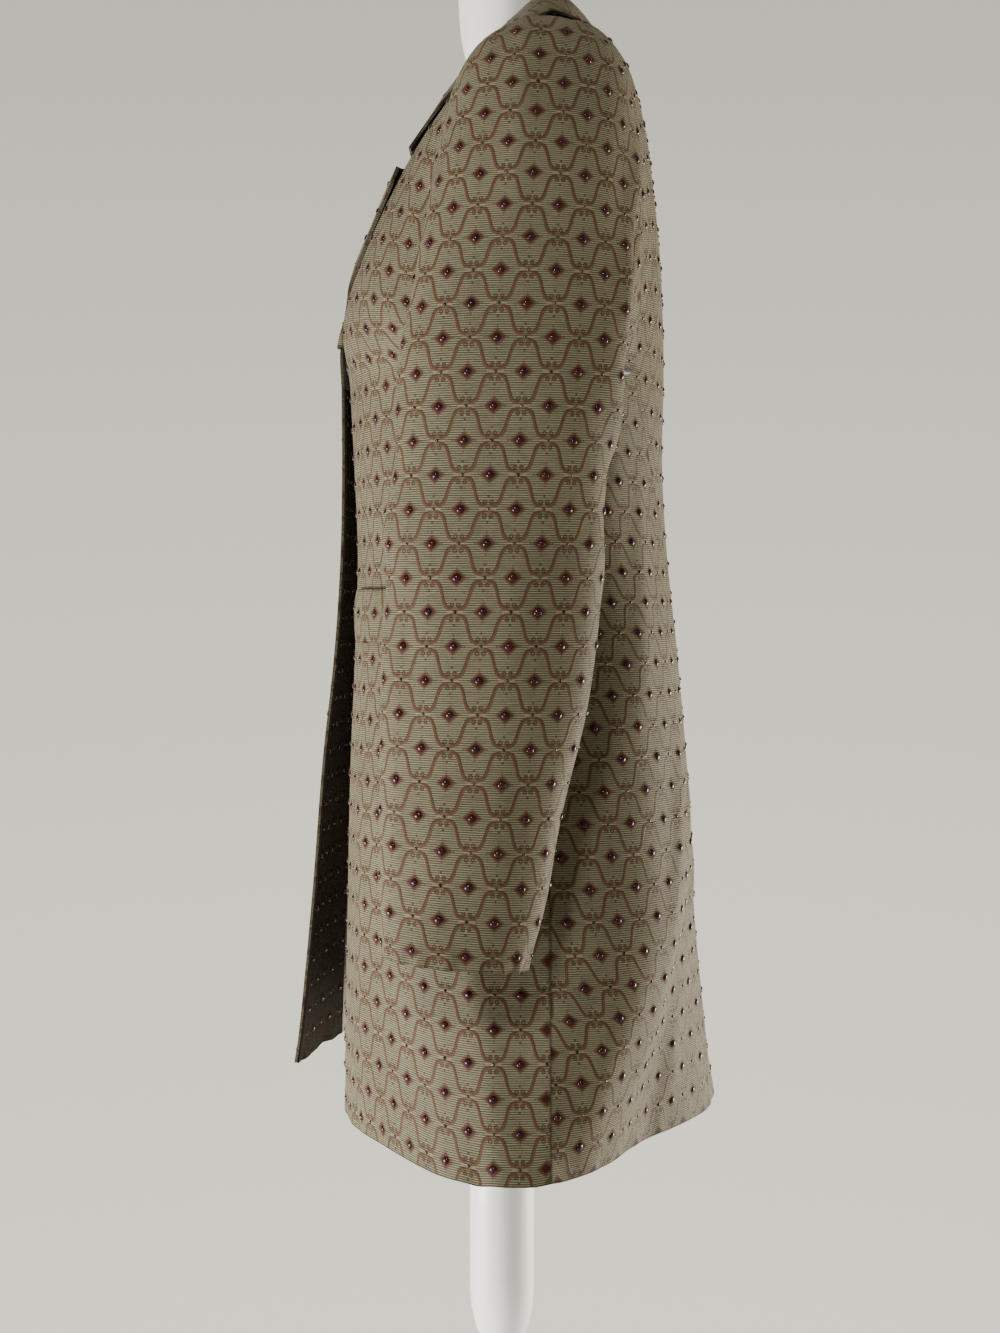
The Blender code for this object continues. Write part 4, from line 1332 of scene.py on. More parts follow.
@dataclass
class Cloth:
    """A piece of cloth laid out as a grid: its outer face, the way out, and its flat coordinates."""

    name: str
    outer: Grid
    normals: Grid
    wall: float = WALL
    grain: Pair = (0.5, 0.5)
    shift: Pair = (0.0, 0.0)
    hold: Hold = Hold.HUNG
    rests_on: tuple[str, ...] = ("form_torso",)
    covered: Grid | None = None
    inside: bool = False

    def __post_init__(self) -> None:
        """Works out the flat coordinates: level rows, measured from the grain line, which runs
        between two shares of the width from the first row to the last."""
        rows, columns = self.outer.shape[:2]
        steps = np.linalg.norm(np.diff(self.outer, axis=1), axis=2)
        across = np.concatenate((np.zeros((rows, 1)), np.cumsum(steps, axis=1)), axis=1)
        rise = lengths_of(self.outer[:, columns // 2])
        place = (self.grain[0] + (self.grain[1] - self.grain[0]) * rise / rise[-1]) * (columns - 1)
        grain = [np.interp(at, np.arange(columns), row) for at, row in zip(place, across)]
        across -= np.array(grain)[:, None]
        upward = np.broadcast_to(rise[:, None], across.shape)
        self.flat = np.stack((across + self.shift[0], upward + self.shift[1]), axis=-1)

    def seam_distance(self) -> Grid:
        """Distance of each point from the piece's edge along its own row and column.

        Returns:
            Distances, as the grid.
        """
        across = self.flat[..., 0]
        upward = self.flat[..., 1]
        sides = np.minimum(across - across[:, :1], across[:, -1:] - across)
        ends = np.minimum(upward - upward[:1], upward[-1:] - upward)
        return np.minimum(np.abs(sides), np.abs(ends))

    def area(self) -> float:
        """Area of the flat cut.

        Returns:
            Square metres.
        """
        corner = self.flat[:-1, :-1]
        first = self.flat[1:, 1:] - corner
        low = self.flat[:-1, 1:] - corner
        high = self.flat[1:, :-1] - corner
        lower = np.abs(low[..., 0] * first[..., 1] - low[..., 1] * first[..., 0])
        upper = np.abs(high[..., 0] * first[..., 1] - high[..., 1] * first[..., 0])
        return float((lower + upper).sum() / 2)

    def faces(self, start: int, flip: bool) -> Grid:
        """Corner numbers of one side's faces.

        Args:
            start: number of its first point.
            flip: True to face back.

        Returns:
            Four corners for each face.
        """
        rows, columns = self.outer.shape[:2]
        index = start + np.arange(rows * columns).reshape(rows, columns)
        corners = (index[:-1, :-1], index[:-1, 1:], index[1:, 1:], index[1:, :-1])
        quads = np.stack(corners, axis=-1).reshape(-1, 4)
        return quads[:, ::-1] if flip else quads

    def rim(self, flip: bool) -> Grid:
        """Corner numbers of the faces between the two sides.

        Args:
            flip: True to face back.

        Returns:
            Four corners for each face.
        """
        rows, columns = self.outer.shape[:2]
        index = np.arange(rows * columns).reshape(rows, columns)
        loop = np.concatenate((index[0], index[1:, -1], index[-1, -2::-1], index[-2:0:-1, 0], index[0, :1]))
        other = loop + rows * columns
        quads = np.stack((loop[:-1], other[:-1], other[1:], loop[1:]), axis=-1)
        return quads[:, ::-1] if flip else quads

    def runs_backward(self) -> bool:
        """True if the grid's own winding faces into the coat.

        Returns:
            That answer, from the middle of the grid.
        """
        row, col = self.outer.shape[0] // 2, self.outer.shape[1] // 2
        level = self.outer[row, col + 1] - self.outer[row, col]
        upward = self.outer[row + 1, col] - self.outer[row, col]
        return bool(np.dot(np.cross(level, upward), self.normals[row, col]) < 0)

    def mesh(self, name: str, points: Grid, faces: Grid, flat: Grid, seam: Grid) -> Mesh:
        """A mesh with flat coordinates and seam distances.

        Args:
            name: the mesh's name.
            points: its points.
            faces: corner numbers of its faces.
            flat: flat coordinates of its points.
            seam: distance of its points from the piece's edge.

        Returns:
            The new mesh.
        """
        mesh = bpy.data.meshes.new(name)
        mesh.from_pydata(points.reshape(-1, 3).tolist(), [], faces.tolist())
        layer = mesh.uv_layers.new(name="UVMap")
        corners = np.empty(len(mesh.loops), np.int32)
        mesh.loops.foreach_get("vertex_index", corners)
        layer.data.foreach_set("uv", flat.reshape(-1, 2)[corners].astype(np.float32).ravel())
        attribute = mesh.attributes.new("seam_distance", "FLOAT", "POINT")
        attribute.data.foreach_set("value", seam.astype(np.float32).ravel())
        mesh.shade_smooth()
        return mesh

    def build(self, finishes: Finishes, lined: bool = True) -> Object:
        """Makes the closed shell of cloth and lining.

        Args:
            finishes: the scene's materials.
            lined: True where the inner side is lining.

        Returns:
            The new piece, in the scene.
        """
        flip = self.runs_backward()
        inner = self.outer - self.wall * self.normals
        count = self.outer.shape[0] * self.outer.shape[1]
        parts = (self.faces(0, flip), self.faces(count, not flip), self.rim(flip))
        seam = np.tile(self.seam_distance().ravel(), 2)
        flat = np.concatenate((self.flat.reshape(-1, 2),) * 2)
        points = np.concatenate((self.outer.reshape(-1, 3), inner.reshape(-1, 3)))
        mesh = self.mesh(self.name, points, np.concatenate(parts), flat, seam)
        # Pieces inside the coat take the brocade darkened with painted shade.
        face = finishes.facing if self.inside else finishes.brocade
        mesh.materials.append(face)
        mesh.materials.append(finishes.lining if lined else face)
        layers = [Layer.FACE.value] * len(parts[0]) + [Layer.LINING.value] * len(parts[1])
        layers += [Layer.FACE.value] * len(parts[2])
        mesh.polygons.foreach_set("material_index", layers)
        mesh.set_sharp_from_angle(angle=CLOTH_CREST)
        return in_scene(f"{self.name}_cloth", mesh)

    def sewing_ground(self) -> Mesh:
        """The outer face alone, for sewing beads on; what is covered counts as seam.

        Returns:
            The new mesh.
        """
        seam = self.seam_distance()
        if self.covered is not None:
            seam = np.where(self.covered, 0.0, seam)
        faces = self.faces(0, self.runs_backward())
        return self.mesh(f"{self.name}_ground", self.outer, faces, self.flat, seam)


@dataclass
class BeadRow:
    """One kind of bead on the brocade's repeat."""

    name: str
    radius: float
    height: float
    sink: float
    phase: float
    clear: float
    seed: int
    segments: int
    rings: int


GARNET_ROW = BeadRow("garnets", 0.0027, 0.68, 0.0006, 0.0, 0.0034, 7, 9, 5)
BRONZE_ROW = BeadRow("crossing_beads", 0.0013, 0.85, 0.0003, 1.0, 0.0016, 11, 6, 4)


class BeadSewing:
    """Geometry nodes that sew beads on a cloth's flat repeat, each a little tilted, turned and
    larger or smaller than the next."""

    tilt = 0.22
    turn = 6.2
    sizes = (0.90, 1.08)
    inputs = {
        "Int": ("Columns", "Rows", "Segments", "Rings", "Seed"),
        "Vector": ("Pitch", "First"),
        "Float": ("Phase", "Radius", "Height", "Sink", "Clear"),
        "Material": ("Bead",),
    }
    bead_sizes = ("radius", "height", "sink", "clear", "segments", "rings", "seed")

    def __init__(self) -> None:
        """Builds the node tree with its named sizes."""
        self.tree = bpy.data.node_groups.new("sewn_beads", "GeometryNodeTree")
        self.sockets: dict[str, str] = {}
        face = self.tree.interface
        face.new_socket("Geometry", in_out="INPUT", socket_type="NodeSocketGeometry")
        face.new_socket("Geometry", in_out="OUTPUT", socket_type="NodeSocketGeometry")
        for kind, names in self.inputs.items():
            for name in names:
                made = face.new_socket(name, in_out="INPUT", socket_type=f"NodeSocket{kind}")
                self.sockets[name] = made.identifier
        self.start = self.node("NodeGroupInput").outputs
        self.wire()

    def node(self, kind: str, **settings: Any) -> Node:
        """A new node with some of its settings.

        Args:
            kind: the node's type.
            settings: its settings by name.

        Returns:
            The node.
        """
        node = self.tree.nodes.new(kind)
        for name, value in settings.items():
            setattr(node, name, value)
        return node

    def join(self, source: Any, target: Any) -> None:
        """Links two sockets, or sets a plain value.

        Args:
            source: socket or value.
            target: the socket to feed.
        """
        if isinstance(source, NodeSocket):
            self.tree.links.new(source, target)
        else:
            target.default_value = source

    def sum(self, operation: str, *values: Any) -> Any:
        """Values through one Math node.

        Args:
            operation: the node's operation.
            values: sockets or numbers.

        Returns:
            The result's socket.
        """
        node = self.node("ShaderNodeMath", operation=operation)
        for value, target in zip(values, node.inputs):
            self.join(value, target)
        return node.outputs[0]

    def sample(self, ground: Any, value: Any, kind: str, place: Any) -> Node:
        """Reads a value of the cloth at flat coordinates.

        Args:
            ground: the cloth's socket.
            value: the value's socket.
            kind: its data type.
            place: socket of the coordinates.

        Returns:
            The sampling node.
        """
        node = self.node("GeometryNodeSampleUVSurface", data_type=kind)
        flat = self.node("GeometryNodeInputNamedAttribute", data_type="FLOAT_VECTOR")
        flat.inputs["Name"].default_value = "UVMap"
        self.join(ground, node.inputs["Mesh"])
        self.join(value, self.live(node.inputs, "Value"))
        self.join(self.live(flat.outputs), node.inputs["Source UV Map"])
        self.join(place, node.inputs["Sample UV"])
        return node

    @staticmethod
    def live(sockets: Any, name: str = "") -> Any:
        """The first socket in use, of this name if one is given."""
        return next(s for s in sockets if s.enabled and name in ("", s.name))

    def store(self, points: Any, name: str, kind: str, value: Any) -> Any:
        """Keeps a value with each point.

        Args:
            points: the points' socket.
            name: the attribute's name.
            kind: its data type.
            value: the value's socket.

        Returns:
            The socket of the points that carry it.
        """
        node = self.node("GeometryNodeStoreNamedAttribute", data_type=kind, domain="POINT")
        node.inputs["Name"].default_value = name
        self.join(points, node.inputs["Geometry"])
        self.join(value, self.live(node.inputs, "Value"))
        return node.outputs[0]

    def wire(self) -> None:
        """Links the tree: repeat, place on the cloth, bead, realize and material."""
        start = self.start
        stop = self.node("NodeGroupOutput").inputs
        bead = self.node("GeometryNodeMeshUVSphere")
        for name in ("Segments", "Rings", "Radius"):
            self.join(start[name], bead.inputs[name])
        sewn = self.node("GeometryNodeInstanceOnPoints")
        self.join(self.lay(self.repeat()), sewn.inputs["Points"])
        self.join(bead.outputs["Mesh"], sewn.inputs["Instance"])
        self.join(self.rotation(), sewn.inputs["Rotation"])
        self.join(self.scale(), sewn.inputs["Scale"])
        real = self.node("GeometryNodeRealizeInstances")
        self.join(sewn.outputs[0], real.inputs[0])
        smooth = self.node("GeometryNodeSetShadeSmooth")
        smooth.inputs["Shade Smooth"].default_value = True
        self.join(real.outputs[0], smooth.inputs[0])
        dress = self.node("GeometryNodeSetMaterial")
        self.join(smooth.outputs[0], dress.inputs["Geometry"])
        self.join(start["Bead"], dress.inputs["Material"])
        self.join(dress.outputs[0], stop["Geometry"])

    def repeat(self) -> Any:
        """The repeat's points, at flat coordinates.

        Returns:
            The points' socket.
        """
        index = self.node("GeometryNodeInputIndex").outputs[0]
        col = self.sum("FLOORED_MODULO", index, self.start["Columns"])
        row = self.sum("FLOOR", self.sum("DIVIDE", index, self.start["Columns"]))
        half = self.sum("FLOORED_MODULO", self.sum("ADD", col, self.start["Phase"]), 2.0)
        pitch = self.node("ShaderNodeSeparateXYZ")
        first = self.node("ShaderNodeSeparateXYZ")
        self.join(self.start["Pitch"], pitch.inputs[0])
        self.join(self.start["First"], first.inputs[0])
        place = self.node("ShaderNodeCombineXYZ")
        for axis, count in (("X", col), ("Y", self.sum("MULTIPLY_ADD", row, 2.0, half))):
            along_axis = self.sum("MULTIPLY_ADD", count, pitch.outputs[axis], first.outputs[axis])
            self.join(along_axis, place.inputs[axis])
        points = self.node("GeometryNodePoints")
        self.join(self.sum("MULTIPLY", self.start["Columns"], self.start["Rows"]), points.inputs["Count"])
        self.join(place.outputs[0], points.inputs["Position"])
        return points.outputs[0]

    def lay(self, points: Any) -> Any:
        """Lays the repeat on the cloth and drops the points off it or too near a seam.

        Args:
            points: the repeat's points.

        Returns:
            The socket of the points that stay.
        """
        where = self.node("GeometryNodeInputPosition").outputs[0]
        normal = self.node("GeometryNodeInputNormal").outputs[0]
        ground = self.start["Geometry"]
        spot = self.sample(ground, where, "FLOAT_VECTOR", where).outputs
        out = self.sample(ground, normal, "FLOAT_VECTOR", where).outputs
        near = self.sample(ground, self.read("seam_distance", "FLOAT"), "FLOAT", where).outputs
        away = self.sum("LESS_THAN", self.live(near, "Value"), self.start["Clear"])
        lost = self.sum("ADD", self.sum("SUBTRACT", 1.0, spot["Is Valid"]), away)
        kept = self.store(points, "bead_out", "FLOAT_VECTOR", self.live(out, "Value"))
        inward = self.node("ShaderNodeVectorMath", operation="SCALE")
        self.join(self.read("bead_out", "FLOAT_VECTOR"), inward.inputs[0])
        self.join(self.sum("MULTIPLY", self.start["Sink"], -1.0), inward.inputs["Scale"])
        laid = self.node("GeometryNodeSetPosition")
        self.join(self.store(kept, "bead_lost", "FLOAT", lost), laid.inputs["Geometry"])
        self.join(self.live(spot, "Value"), laid.inputs["Position"])
        self.join(inward.outputs[0], laid.inputs["Offset"])
        cut = self.node("GeometryNodeDeleteGeometry", domain="POINT")
        self.join(laid.outputs[0], cut.inputs["Geometry"])
        self.join(self.sum("GREATER_THAN", self.read("bead_lost", "FLOAT"), 0.5), cut.inputs["Selection"])
        return cut.outputs[0]

    def rotation(self) -> Any:
        """A bead's rotation: on the cloth, a little tilted and turned anyhow.

        Returns:
            The rotation's socket.
        """
        turn = self.node("FunctionNodeRandomValue", data_type="FLOAT_VECTOR")
        turn.inputs["Min"].default_value = (-self.tilt, -self.tilt, 0.0)
        turn.inputs["Max"].default_value = (self.tilt, self.tilt, self.turn)
        self.join(self.start["Seed"], turn.inputs["Seed"])
        tilt = self.node("FunctionNodeEulerToRotation")
        self.join(turn.outputs["Value"], tilt.inputs[0])
        stand = self.node("FunctionNodeAlignRotationToVector", axis="Z")
        self.join(self.read("bead_out", "FLOAT_VECTOR"), stand.inputs["Vector"])
        both = self.node("FunctionNodeRotateRotation", rotation_space="LOCAL")
        self.join(stand.outputs[0], both.inputs["Rotation"])
        self.join(tilt.outputs[0], both.inputs["Rotate By"])
        return both.outputs[0]

    def scale(self) -> Any:
        """A bead's scale: near its size, and flattened to its height.

        Returns:
            The scale's socket.
        """
        size = self.node("FunctionNodeRandomValue", data_type="FLOAT")
        limits = [socket for socket in size.inputs if socket.enabled]
        for socket, value in zip(limits, self.sizes):
            socket.default_value = value
        self.join(self.start["Seed"], size.inputs["Seed"])
        grown = self.live(size.outputs)
        scale = self.node("ShaderNodeCombineXYZ")
        for axis in ("X", "Y"):
            self.join(grown, scale.inputs[axis])
        self.join(self.sum("MULTIPLY", grown, self.start["Height"]), scale.inputs["Z"])
        return scale.outputs[0]

    def read(self, name: str, kind: str) -> Any:
        """A stored attribute.

        Args:
            name: its name.
            kind: its data type.

        Returns:
            Its socket.
        """
        node = self.node("GeometryNodeInputNamedAttribute", data_type=kind)
        node.inputs["Name"].default_value = name
        return self.live(node.outputs)

    def sew(self, cloth: Cloth, beads: BeadRow, material: Material) -> Object | None:
        """Sews one kind of bead on a cloth.

        Args:
            cloth: the cloth, with its flat coordinates.
            beads: the kind of bead.
            material: its finish.

        Returns:
            The joined beads as a plain mesh, or None where none has room.
        """
        pitch = (Brocade.pitch_u / 1000, Brocade.pitch_v / 1000)
        low = cloth.flat.reshape(-1, 2).min(axis=0)
        high = cloth.flat.reshape(-1, 2).max(axis=0)
        first_col = math.floor(low[0] / pitch[0]) - 1
        first_row = 2 * math.floor(low[1] / pitch[1] / 2) - 2
        values = {
            "Columns": math.ceil((high[0] - low[0]) / pitch[0]) + 3,
            "Rows": math.ceil((high[1] - low[1]) / pitch[1] / 2) + 3,
            "Pitch": (*pitch, 0.0),
            "First": (first_col * pitch[0], first_row * pitch[1], 0.0),
            "Phase": beads.phase + first_col % 2,
            "Bead": material,
        }
        values |= {name.capitalize(): getattr(beads, name) for name in self.bead_sizes}
        work = in_scene(f"{cloth.name}_{beads.name}", cloth.sewing_ground())
        modifier = work.modifiers.new("Sew", "NODES")
        modifier.node_group = self.tree
        for name, value in values.items():
            modifier[self.sockets[name]] = value
        graph = bpy.context.evaluated_depsgraph_get()
        made = bpy.data.meshes.new_from_object(work.evaluated_get(graph))
        work.modifiers.remove(modifier)
        if not made.polygons:
            bpy.data.objects.remove(work)
            return None
        work.data = made
        return work


@dataclass
class Panels:
    """The coat's body: fronts, side backs and back, with facings and pocket flaps."""

    ring_rows: int = 84
    patch_rows: int = 48
    front_columns: int = 48
    side_columns: int = 30
    back_columns: int = 34
    flap_columns: int = 44
    flap_rows: int = 16
    flap_crown: float = 0.0012
    side_grain: Pair = (0.60, 0.50)
    front_shift: Pair = (-0.0083, 0.0101)
    side_shift: Pair = (-0.0078, 0.0)
    hem_wave: float = 0.0009
    hem_fade: float = 0.03
    hem_way: Triple = (0.0, 0.0, 0.6)
    seam_gap: float = 0.00004
    flap_margin: Pair = (2.0, 0.004)
    lapel_margin: float = 0.03
    gorge_margin: float = 0.02
    collar_cover: Pair = (0.24, 0.17)
    nape_cover: Pair = (0.30, 0.88)

    def lower(self, side: Side, first: Callable, last: Callable, columns: int) -> tuple[Grid, Grid, Grid]:
        """The rows of a panel from the hem to the underarm.

        Args:
            side: the wearer's side.
            first: angle of its first edge by height.
            last: angle of its last edge by height.
            columns: how many columns it has.

        Returns:
            Points, the way out, and the angles.
        """
        up = np.linspace(0.0, 1.0, self.ring_rows)[:, None]
        share = np.linspace(0.0, 1.0, columns)[None, :]
        level = HEM_Z + (CHEST_Z - HEM_Z) * up
        start = first(level)
        angles = start + (last(level) - start) * share
        centre, reach = HEM_RISE_ANGLES
        away = np.clip((angles - centre) / reach, -1.0, 1.0)
        heights = level + HEM_RISE * (1.0 - up) ** 2 * np.cos(away * math.pi / 2) ** 2
        fade = np.clip(1.0 - (heights - HEM_Z) / self.hem_fade, 0.0, 1.0)
        wave = self.hem_wave * fade * rippled(PANEL_RIPPLES, angles)
        points = Body.point(heights, angles, side)
        normals = Body.normal(heights, angles, side)
        return points + wave[..., None] * (normals + self.hem_way), normals, angles

    def upper(self, side: Side, behind: bool, columns: int) -> tuple[Grid, Grid, Grid, Grid]:
        """The rows of a panel above the underarm.

        Args:
            side: the wearer's side.
            behind: True for the back.
            columns: how many columns it has.

        Returns:
            Points, the way out, and the shares s and t.
        """
        t = np.linspace(0.0, 1.0, self.patch_rows)[1:, None]
        s = np.linspace(0.0, 1.0, columns)[None, :]
        points, normals = Patch(side, behind).creased(s, t)
        points[-1, :, 1] += (SEAM / 2) * (1 if behind else -1)
        s, t = np.broadcast_arrays(s, t)
        return points, normals, s, t

    def trim(self, edge: Callable, way: int) -> Callable[[Any], Grid]:
        """An edge moved by half a seam's gap."""
        return lambda z: edge(z) + way * self.seam_gap / (2 * LEAST_SPEED)

    def front(self, side: Side) -> Cloth:
        """A front, from its edge to the side seam and up to the shoulder.

        Args:
            side: the wearer's side.

        Returns:
            The cloth.
        """
        edge = Body.front_edge(side)
        low, low_out, angles = self.lower(side, edge, self.trim(Body.side_seam, -1), self.front_columns)
        high, high_out, s, t = self.upper(side, False, self.front_columns)
        degrees = np.degrees(angles)
        heights = low[..., 2]
        aside, above = self.flap_margin
        under_flap = (degrees > FLAP_ANGLES[0] - aside) & (degrees < FLAP_ANGLES[1] + aside)
        under_flap &= (heights < FLAP_TOP_Z + above) & (heights > FLAP_TOP_Z - FLAP_DEPTH - above)
        reach = column(LAPEL_ROWS, "reach", t, "t") + self.lapel_margin
        under_lapel = (t > BREAK_T - self.lapel_margin) & (t < GORGE_T + self.gorge_margin) & (s < reach)
        least, more = self.collar_cover
        reach = least + more * (1.0 - t) / (1.0 - COLLAR_FRONT_T) + self.lapel_margin
        under_collar = (t > COLLAR_FRONT_T - self.lapel_margin) & (s < reach)
        return Cloth(
            f"{side.hand}_front",
            np.vstack((low, high)),
            np.vstack((low_out, high_out)),
            shift=self.front_shift,
            covered=np.vstack((under_flap, under_lapel | under_collar)),
        )

    def side_back(self, side: Side) -> Cloth:
        """The panel between side seam and back seam.

        Args:
            side: the wearer's side.

        Returns:
            The cloth.
        """
        first, last = self.trim(Body.side_seam, 1), self.trim(Body.back_seam, -1)
        points, normals, _ = self.lower(side, first, last, self.side_columns)
        name = f"{side.hand}_side_back"
        return Cloth(name, points, normals, grain=self.side_grain, shift=self.side_shift)

    def back(self) -> Cloth:
        """The back, in one piece over both sides.

        Returns:
            The cloth.
        """
        halves = []
        for side in Side:
            seam = self.trim(Body.back_seam, 1)
            low, low_out, _ = self.lower(side, Body.centre_back, seam, self.back_columns)
            high, high_out, s, t = self.upper(side, True, self.back_columns)
            in_view = np.zeros(low.shape[:2], bool)
            under_collar = (s < self.nape_cover[0]) & (t > self.nape_cover[1])
            pairs = ((low, high), (low_out, high_out), (in_view, under_collar))
            halves.append([np.vstack(pair) for pair in pairs])
        left, right = halves
        points, normals, covered = (np.hstack((a[:, ::-1], b[:, 1:])) for a, b in zip(left, right))
        normals[:, self.back_columns - 1, 0] = 0.0
        return Cloth("back", points, unit(normals), covered=covered)

    def facing(self, side: Side) -> Cloth:
        """The brocade strip along a front's inside; its face looks into the coat.

        Args:
            side: the wearer's side.

        Returns:
            The cloth.
        """
        edge = Body.front_edge(side)
        columns = int(self.front_columns * FACING_SHARE)
        points, normals, _ = self.lower(side, edge, self.trim(Body.side_seam, -1), self.front_columns)
        points, normals = points[:, :columns], normals[:, :columns]
        face = points - (WALL + SEAM + FACING_WALL) * normals
        name, on = f"{side.hand}_facing", (f"{side.hand}_front",)
        return Cloth(name, face, -normals, FACING_WALL, hold=Hold.LAID, rests_on=on, inside=True)

    def flap(self, side: Side) -> Cloth:
        """A pocket flap with rounded lower corners.

        Args:
            side: the wearer's side.

        Returns:
            The cloth.
        """
        across = np.linspace(0.0, 1.0, self.flap_columns)[None, :]
        down = np.linspace(1.0, 0.0, self.flap_rows)[:, None]
        first, last = np.radians(FLAP_ANGLES)
        angles = first + (last - first) * across
        near_end = np.minimum(across, 1.0 - across) * (last - first) * Body.read("half_width", FLAP_TOP_Z)
        corner = np.clip(1.0 - near_end / FLAP_CORNER, 0.0, 1.0)
        depth = FLAP_DEPTH - FLAP_CORNER * (1.0 - np.sqrt(1.0 - corner**2))
        heights = FLAP_TOP_Z - depth * down
        angles = np.broadcast_to(angles, heights.shape)
        normals = Body.normal(heights, angles, side)
        crown = LIFT + WALL + self.flap_crown * np.sin(math.pi * down)
        points = Body.point(heights, angles, side) + crown[..., None] * normals
        on = (f"{side.hand}_front",)
        return Cloth(f"{side.hand}_pocket_flap", points, normals, hold=Hold.LAID, rests_on=on)


@dataclass
class Sleeve:
    """A set-in sleeve with one seam on its inside."""

    side: Side
    columns: int = 97
    cap_rows: int = 34
    arm_rows: int = 78
    armhole_steps: int = 48
    under_steps: int = 16
    grain_top: Pair = (0.0208, 1.309)
    grain_foot: Pair = (-0.0047, 0.824)
    hem_wave: float = 0.0008
    hem_fade: float = 0.03
    seam_fade: float = 0.05
    underlap: float = 0.005
    underlap_share: float = 0.12
    levels: int = 80

    def armhole(self, shares: Grid) -> Grid:
        """A line just outside the armhole, from the shoulder tip over the back, underarm and front.

        Args:
            shares: shares of its length.

        Returns:
            Points of the line.
        """
        front, behind = Patch(self.side, False), Patch(self.side, True)
        t = np.linspace(0.0, 1.0, self.armhole_steps)
        one = np.ones(t.shape)
        under = np.linspace(Body.back_seam(CHEST_Z), math.pi / 2, self.under_steps)[1:-1]
        below = Body.point(CHEST_Z, under, self.side) + SLEEVE_LIFT * Body.normal(CHEST_Z, under, self.side)
        rear = behind.point(one, t) + SLEEVE_LIFT * behind.normal(one, t)
        fore = front.point(one, t) + SLEEVE_LIFT * front.normal(one, t)
        below[:, 2] -= self.underlap
        for line in (rear, fore):
            line[:, 2] -= self.underlap * np.clip(1.0 - t / self.underlap_share, 0.0, 1.0)
        points = np.vstack((rear[::-1], below, fore))
        lengths = lengths_of(points)
        places = np.mod(shares, 1.0) * lengths[-1]
        return np.stack([np.interp(places, lengths, points[:, axis]) for axis in range(3)], axis=-1)

    def arm(self, z: float, angle: Grid) -> Grid:
        """Points of the sleeve below the cap; the angle runs from outside (0) to the back (90).

        Args:
            z: the height.
            angle: angles.

        Returns:
            The points.
        """
        reach = {name: column(ARM_RINGS, name, z, "z") for name in ArmRing._fields[1:]}
        power = 2.0 / ARM_FULLNESS
        outward = rounded(np.cos(angle), power)
        backward = rounded(np.sin(angle), power)
        x = (reach["inside"] + reach["outside"]) / 2 + (reach["outside"] - reach["inside"]) / 2 * outward
        y = (reach["front"] + reach["back"]) / 2 + (reach["back"] - reach["front"]) / 2 * backward
        cuff = ease((CUFF_TOP_Z - z) / (CUFF_TOP_Z - ARM_RINGS[-1].z))
        return np.stack((self.side.value * x, y, z - CUFF_RISE * backward * cuff), axis=-1)

    def grid(self) -> tuple[Grid, Grid]:
        """The outer face from hem to armhole, from the inside seam round by the front and outside.

        Returns:
            The points and the way out at each.
        """
        angles = np.linspace(-math.pi, math.pi, self.columns)
        shares = angles / (2 * math.pi)
        start = self.armhole(shares)
        stop = self.arm(ARM_RINGS[0].z, angles)
        degrees = np.mod(np.degrees(angles), 360.0)
        pull = {name: column(CAP_PULLS, name, degrees, "angle") for name in CapPull._fields[1:]}
        leave = np.stack((self.side.value * pull["out"], pull["aside"], pull["up"]), axis=-1)
        arrive = np.stack((0.0 * angles, 0.0 * angles, -pull["drop"]), axis=-1)
        rows = [hermite(u, start, leave, stop, arrive) for u in np.linspace(0.0, 1.0, self.cap_rows)]
        heights = np.linspace(ARM_RINGS[0].z, ARM_RINGS[-1].z, self.arm_rows)
        rows += [self.arm(z, angles) for z in heights[1:]]
        points = np.array(rows)
        normals = self.way_out(points)
        lengths = lengths_of(points[:, self.columns // 2])
        down = (lengths / lengths[-1])[:, None]
        reach = (math.radians(SLEEVE_REACH[0]), SLEEVE_REACH[1])
        depth = crease_depth(SLEEVE_CREASES, np.degrees(angles)[None, :], down, reach)
        depth *= ease(down / self.seam_fade)
        near_hem = np.clip(1.0 - (1.0 - down) / self.hem_fade, 0.0, 1.0)
        depth += self.hem_wave * near_hem * rippled(SLEEVE_RIPPLES, angles)[None, :]
        points = points - depth[..., None] * normals
        return points[::-1], self.way_out(points)[::-1]

    def way_out(self, points: Grid) -> Grid:
        """The way out of a sleeve's grid, the same on both sides of its seam.

        Args:
            points: the grid, with the armhole's row first.

        Returns:
            Vectors of length 1.
        """
        wrapped = np.concatenate((points[:, -2:-1], points, points[:, 1:2]), axis=1)
        around = wrapped[:, 2:] - wrapped[:, :-2]
        normals = np.cross(np.gradient(points, axis=0), around) * self.side.value
        normals[0, :, 0] = 0.0
        return unit(normals)

    def cloth(self) -> Cloth:
        """The sleeve, laid flat from its grain line, which leans forward towards the hem.

        Returns:
            The cloth.
        """
        points, normals = self.grid()
        made = Cloth(f"{self.side.hand}_sleeve", points, normals)
        heights = np.maximum.accumulate(points[:, self.columns // 2, 2])
        rise = made.flat[:, 0, 1].copy()
        for row in range(self.arm_rows):
            made.flat[row, :, 0] -= self.grain_place(heights[row], points[row], made.flat[row, :, 0])
        self.develop_cap(points[self.arm_rows - 1 :], made.flat[self.arm_rows - 1 :], heights, rise)
        made.flat[..., 1] -= np.interp(self.grain_top[1], heights, rise)
        return made

    def grain_place(self, height: float, line: Grid, across: Grid) -> float:
        """Where the grain line crosses a level line of the sleeve, in its flat coordinate.

        Args:
            height: height of the level line.
            line: its points.
            across: lengths along it.

        Returns:
            The length at the crossing.
        """
        low, high = self.grain_foot, self.grain_top
        y = low[0] + (high[0] - low[0]) * (height - low[1]) / (high[1] - low[1])
        outside = slice(self.columns // 4, 3 * self.columns // 4)
        return float(np.interp(y, line[outside, 1], across[outside]))

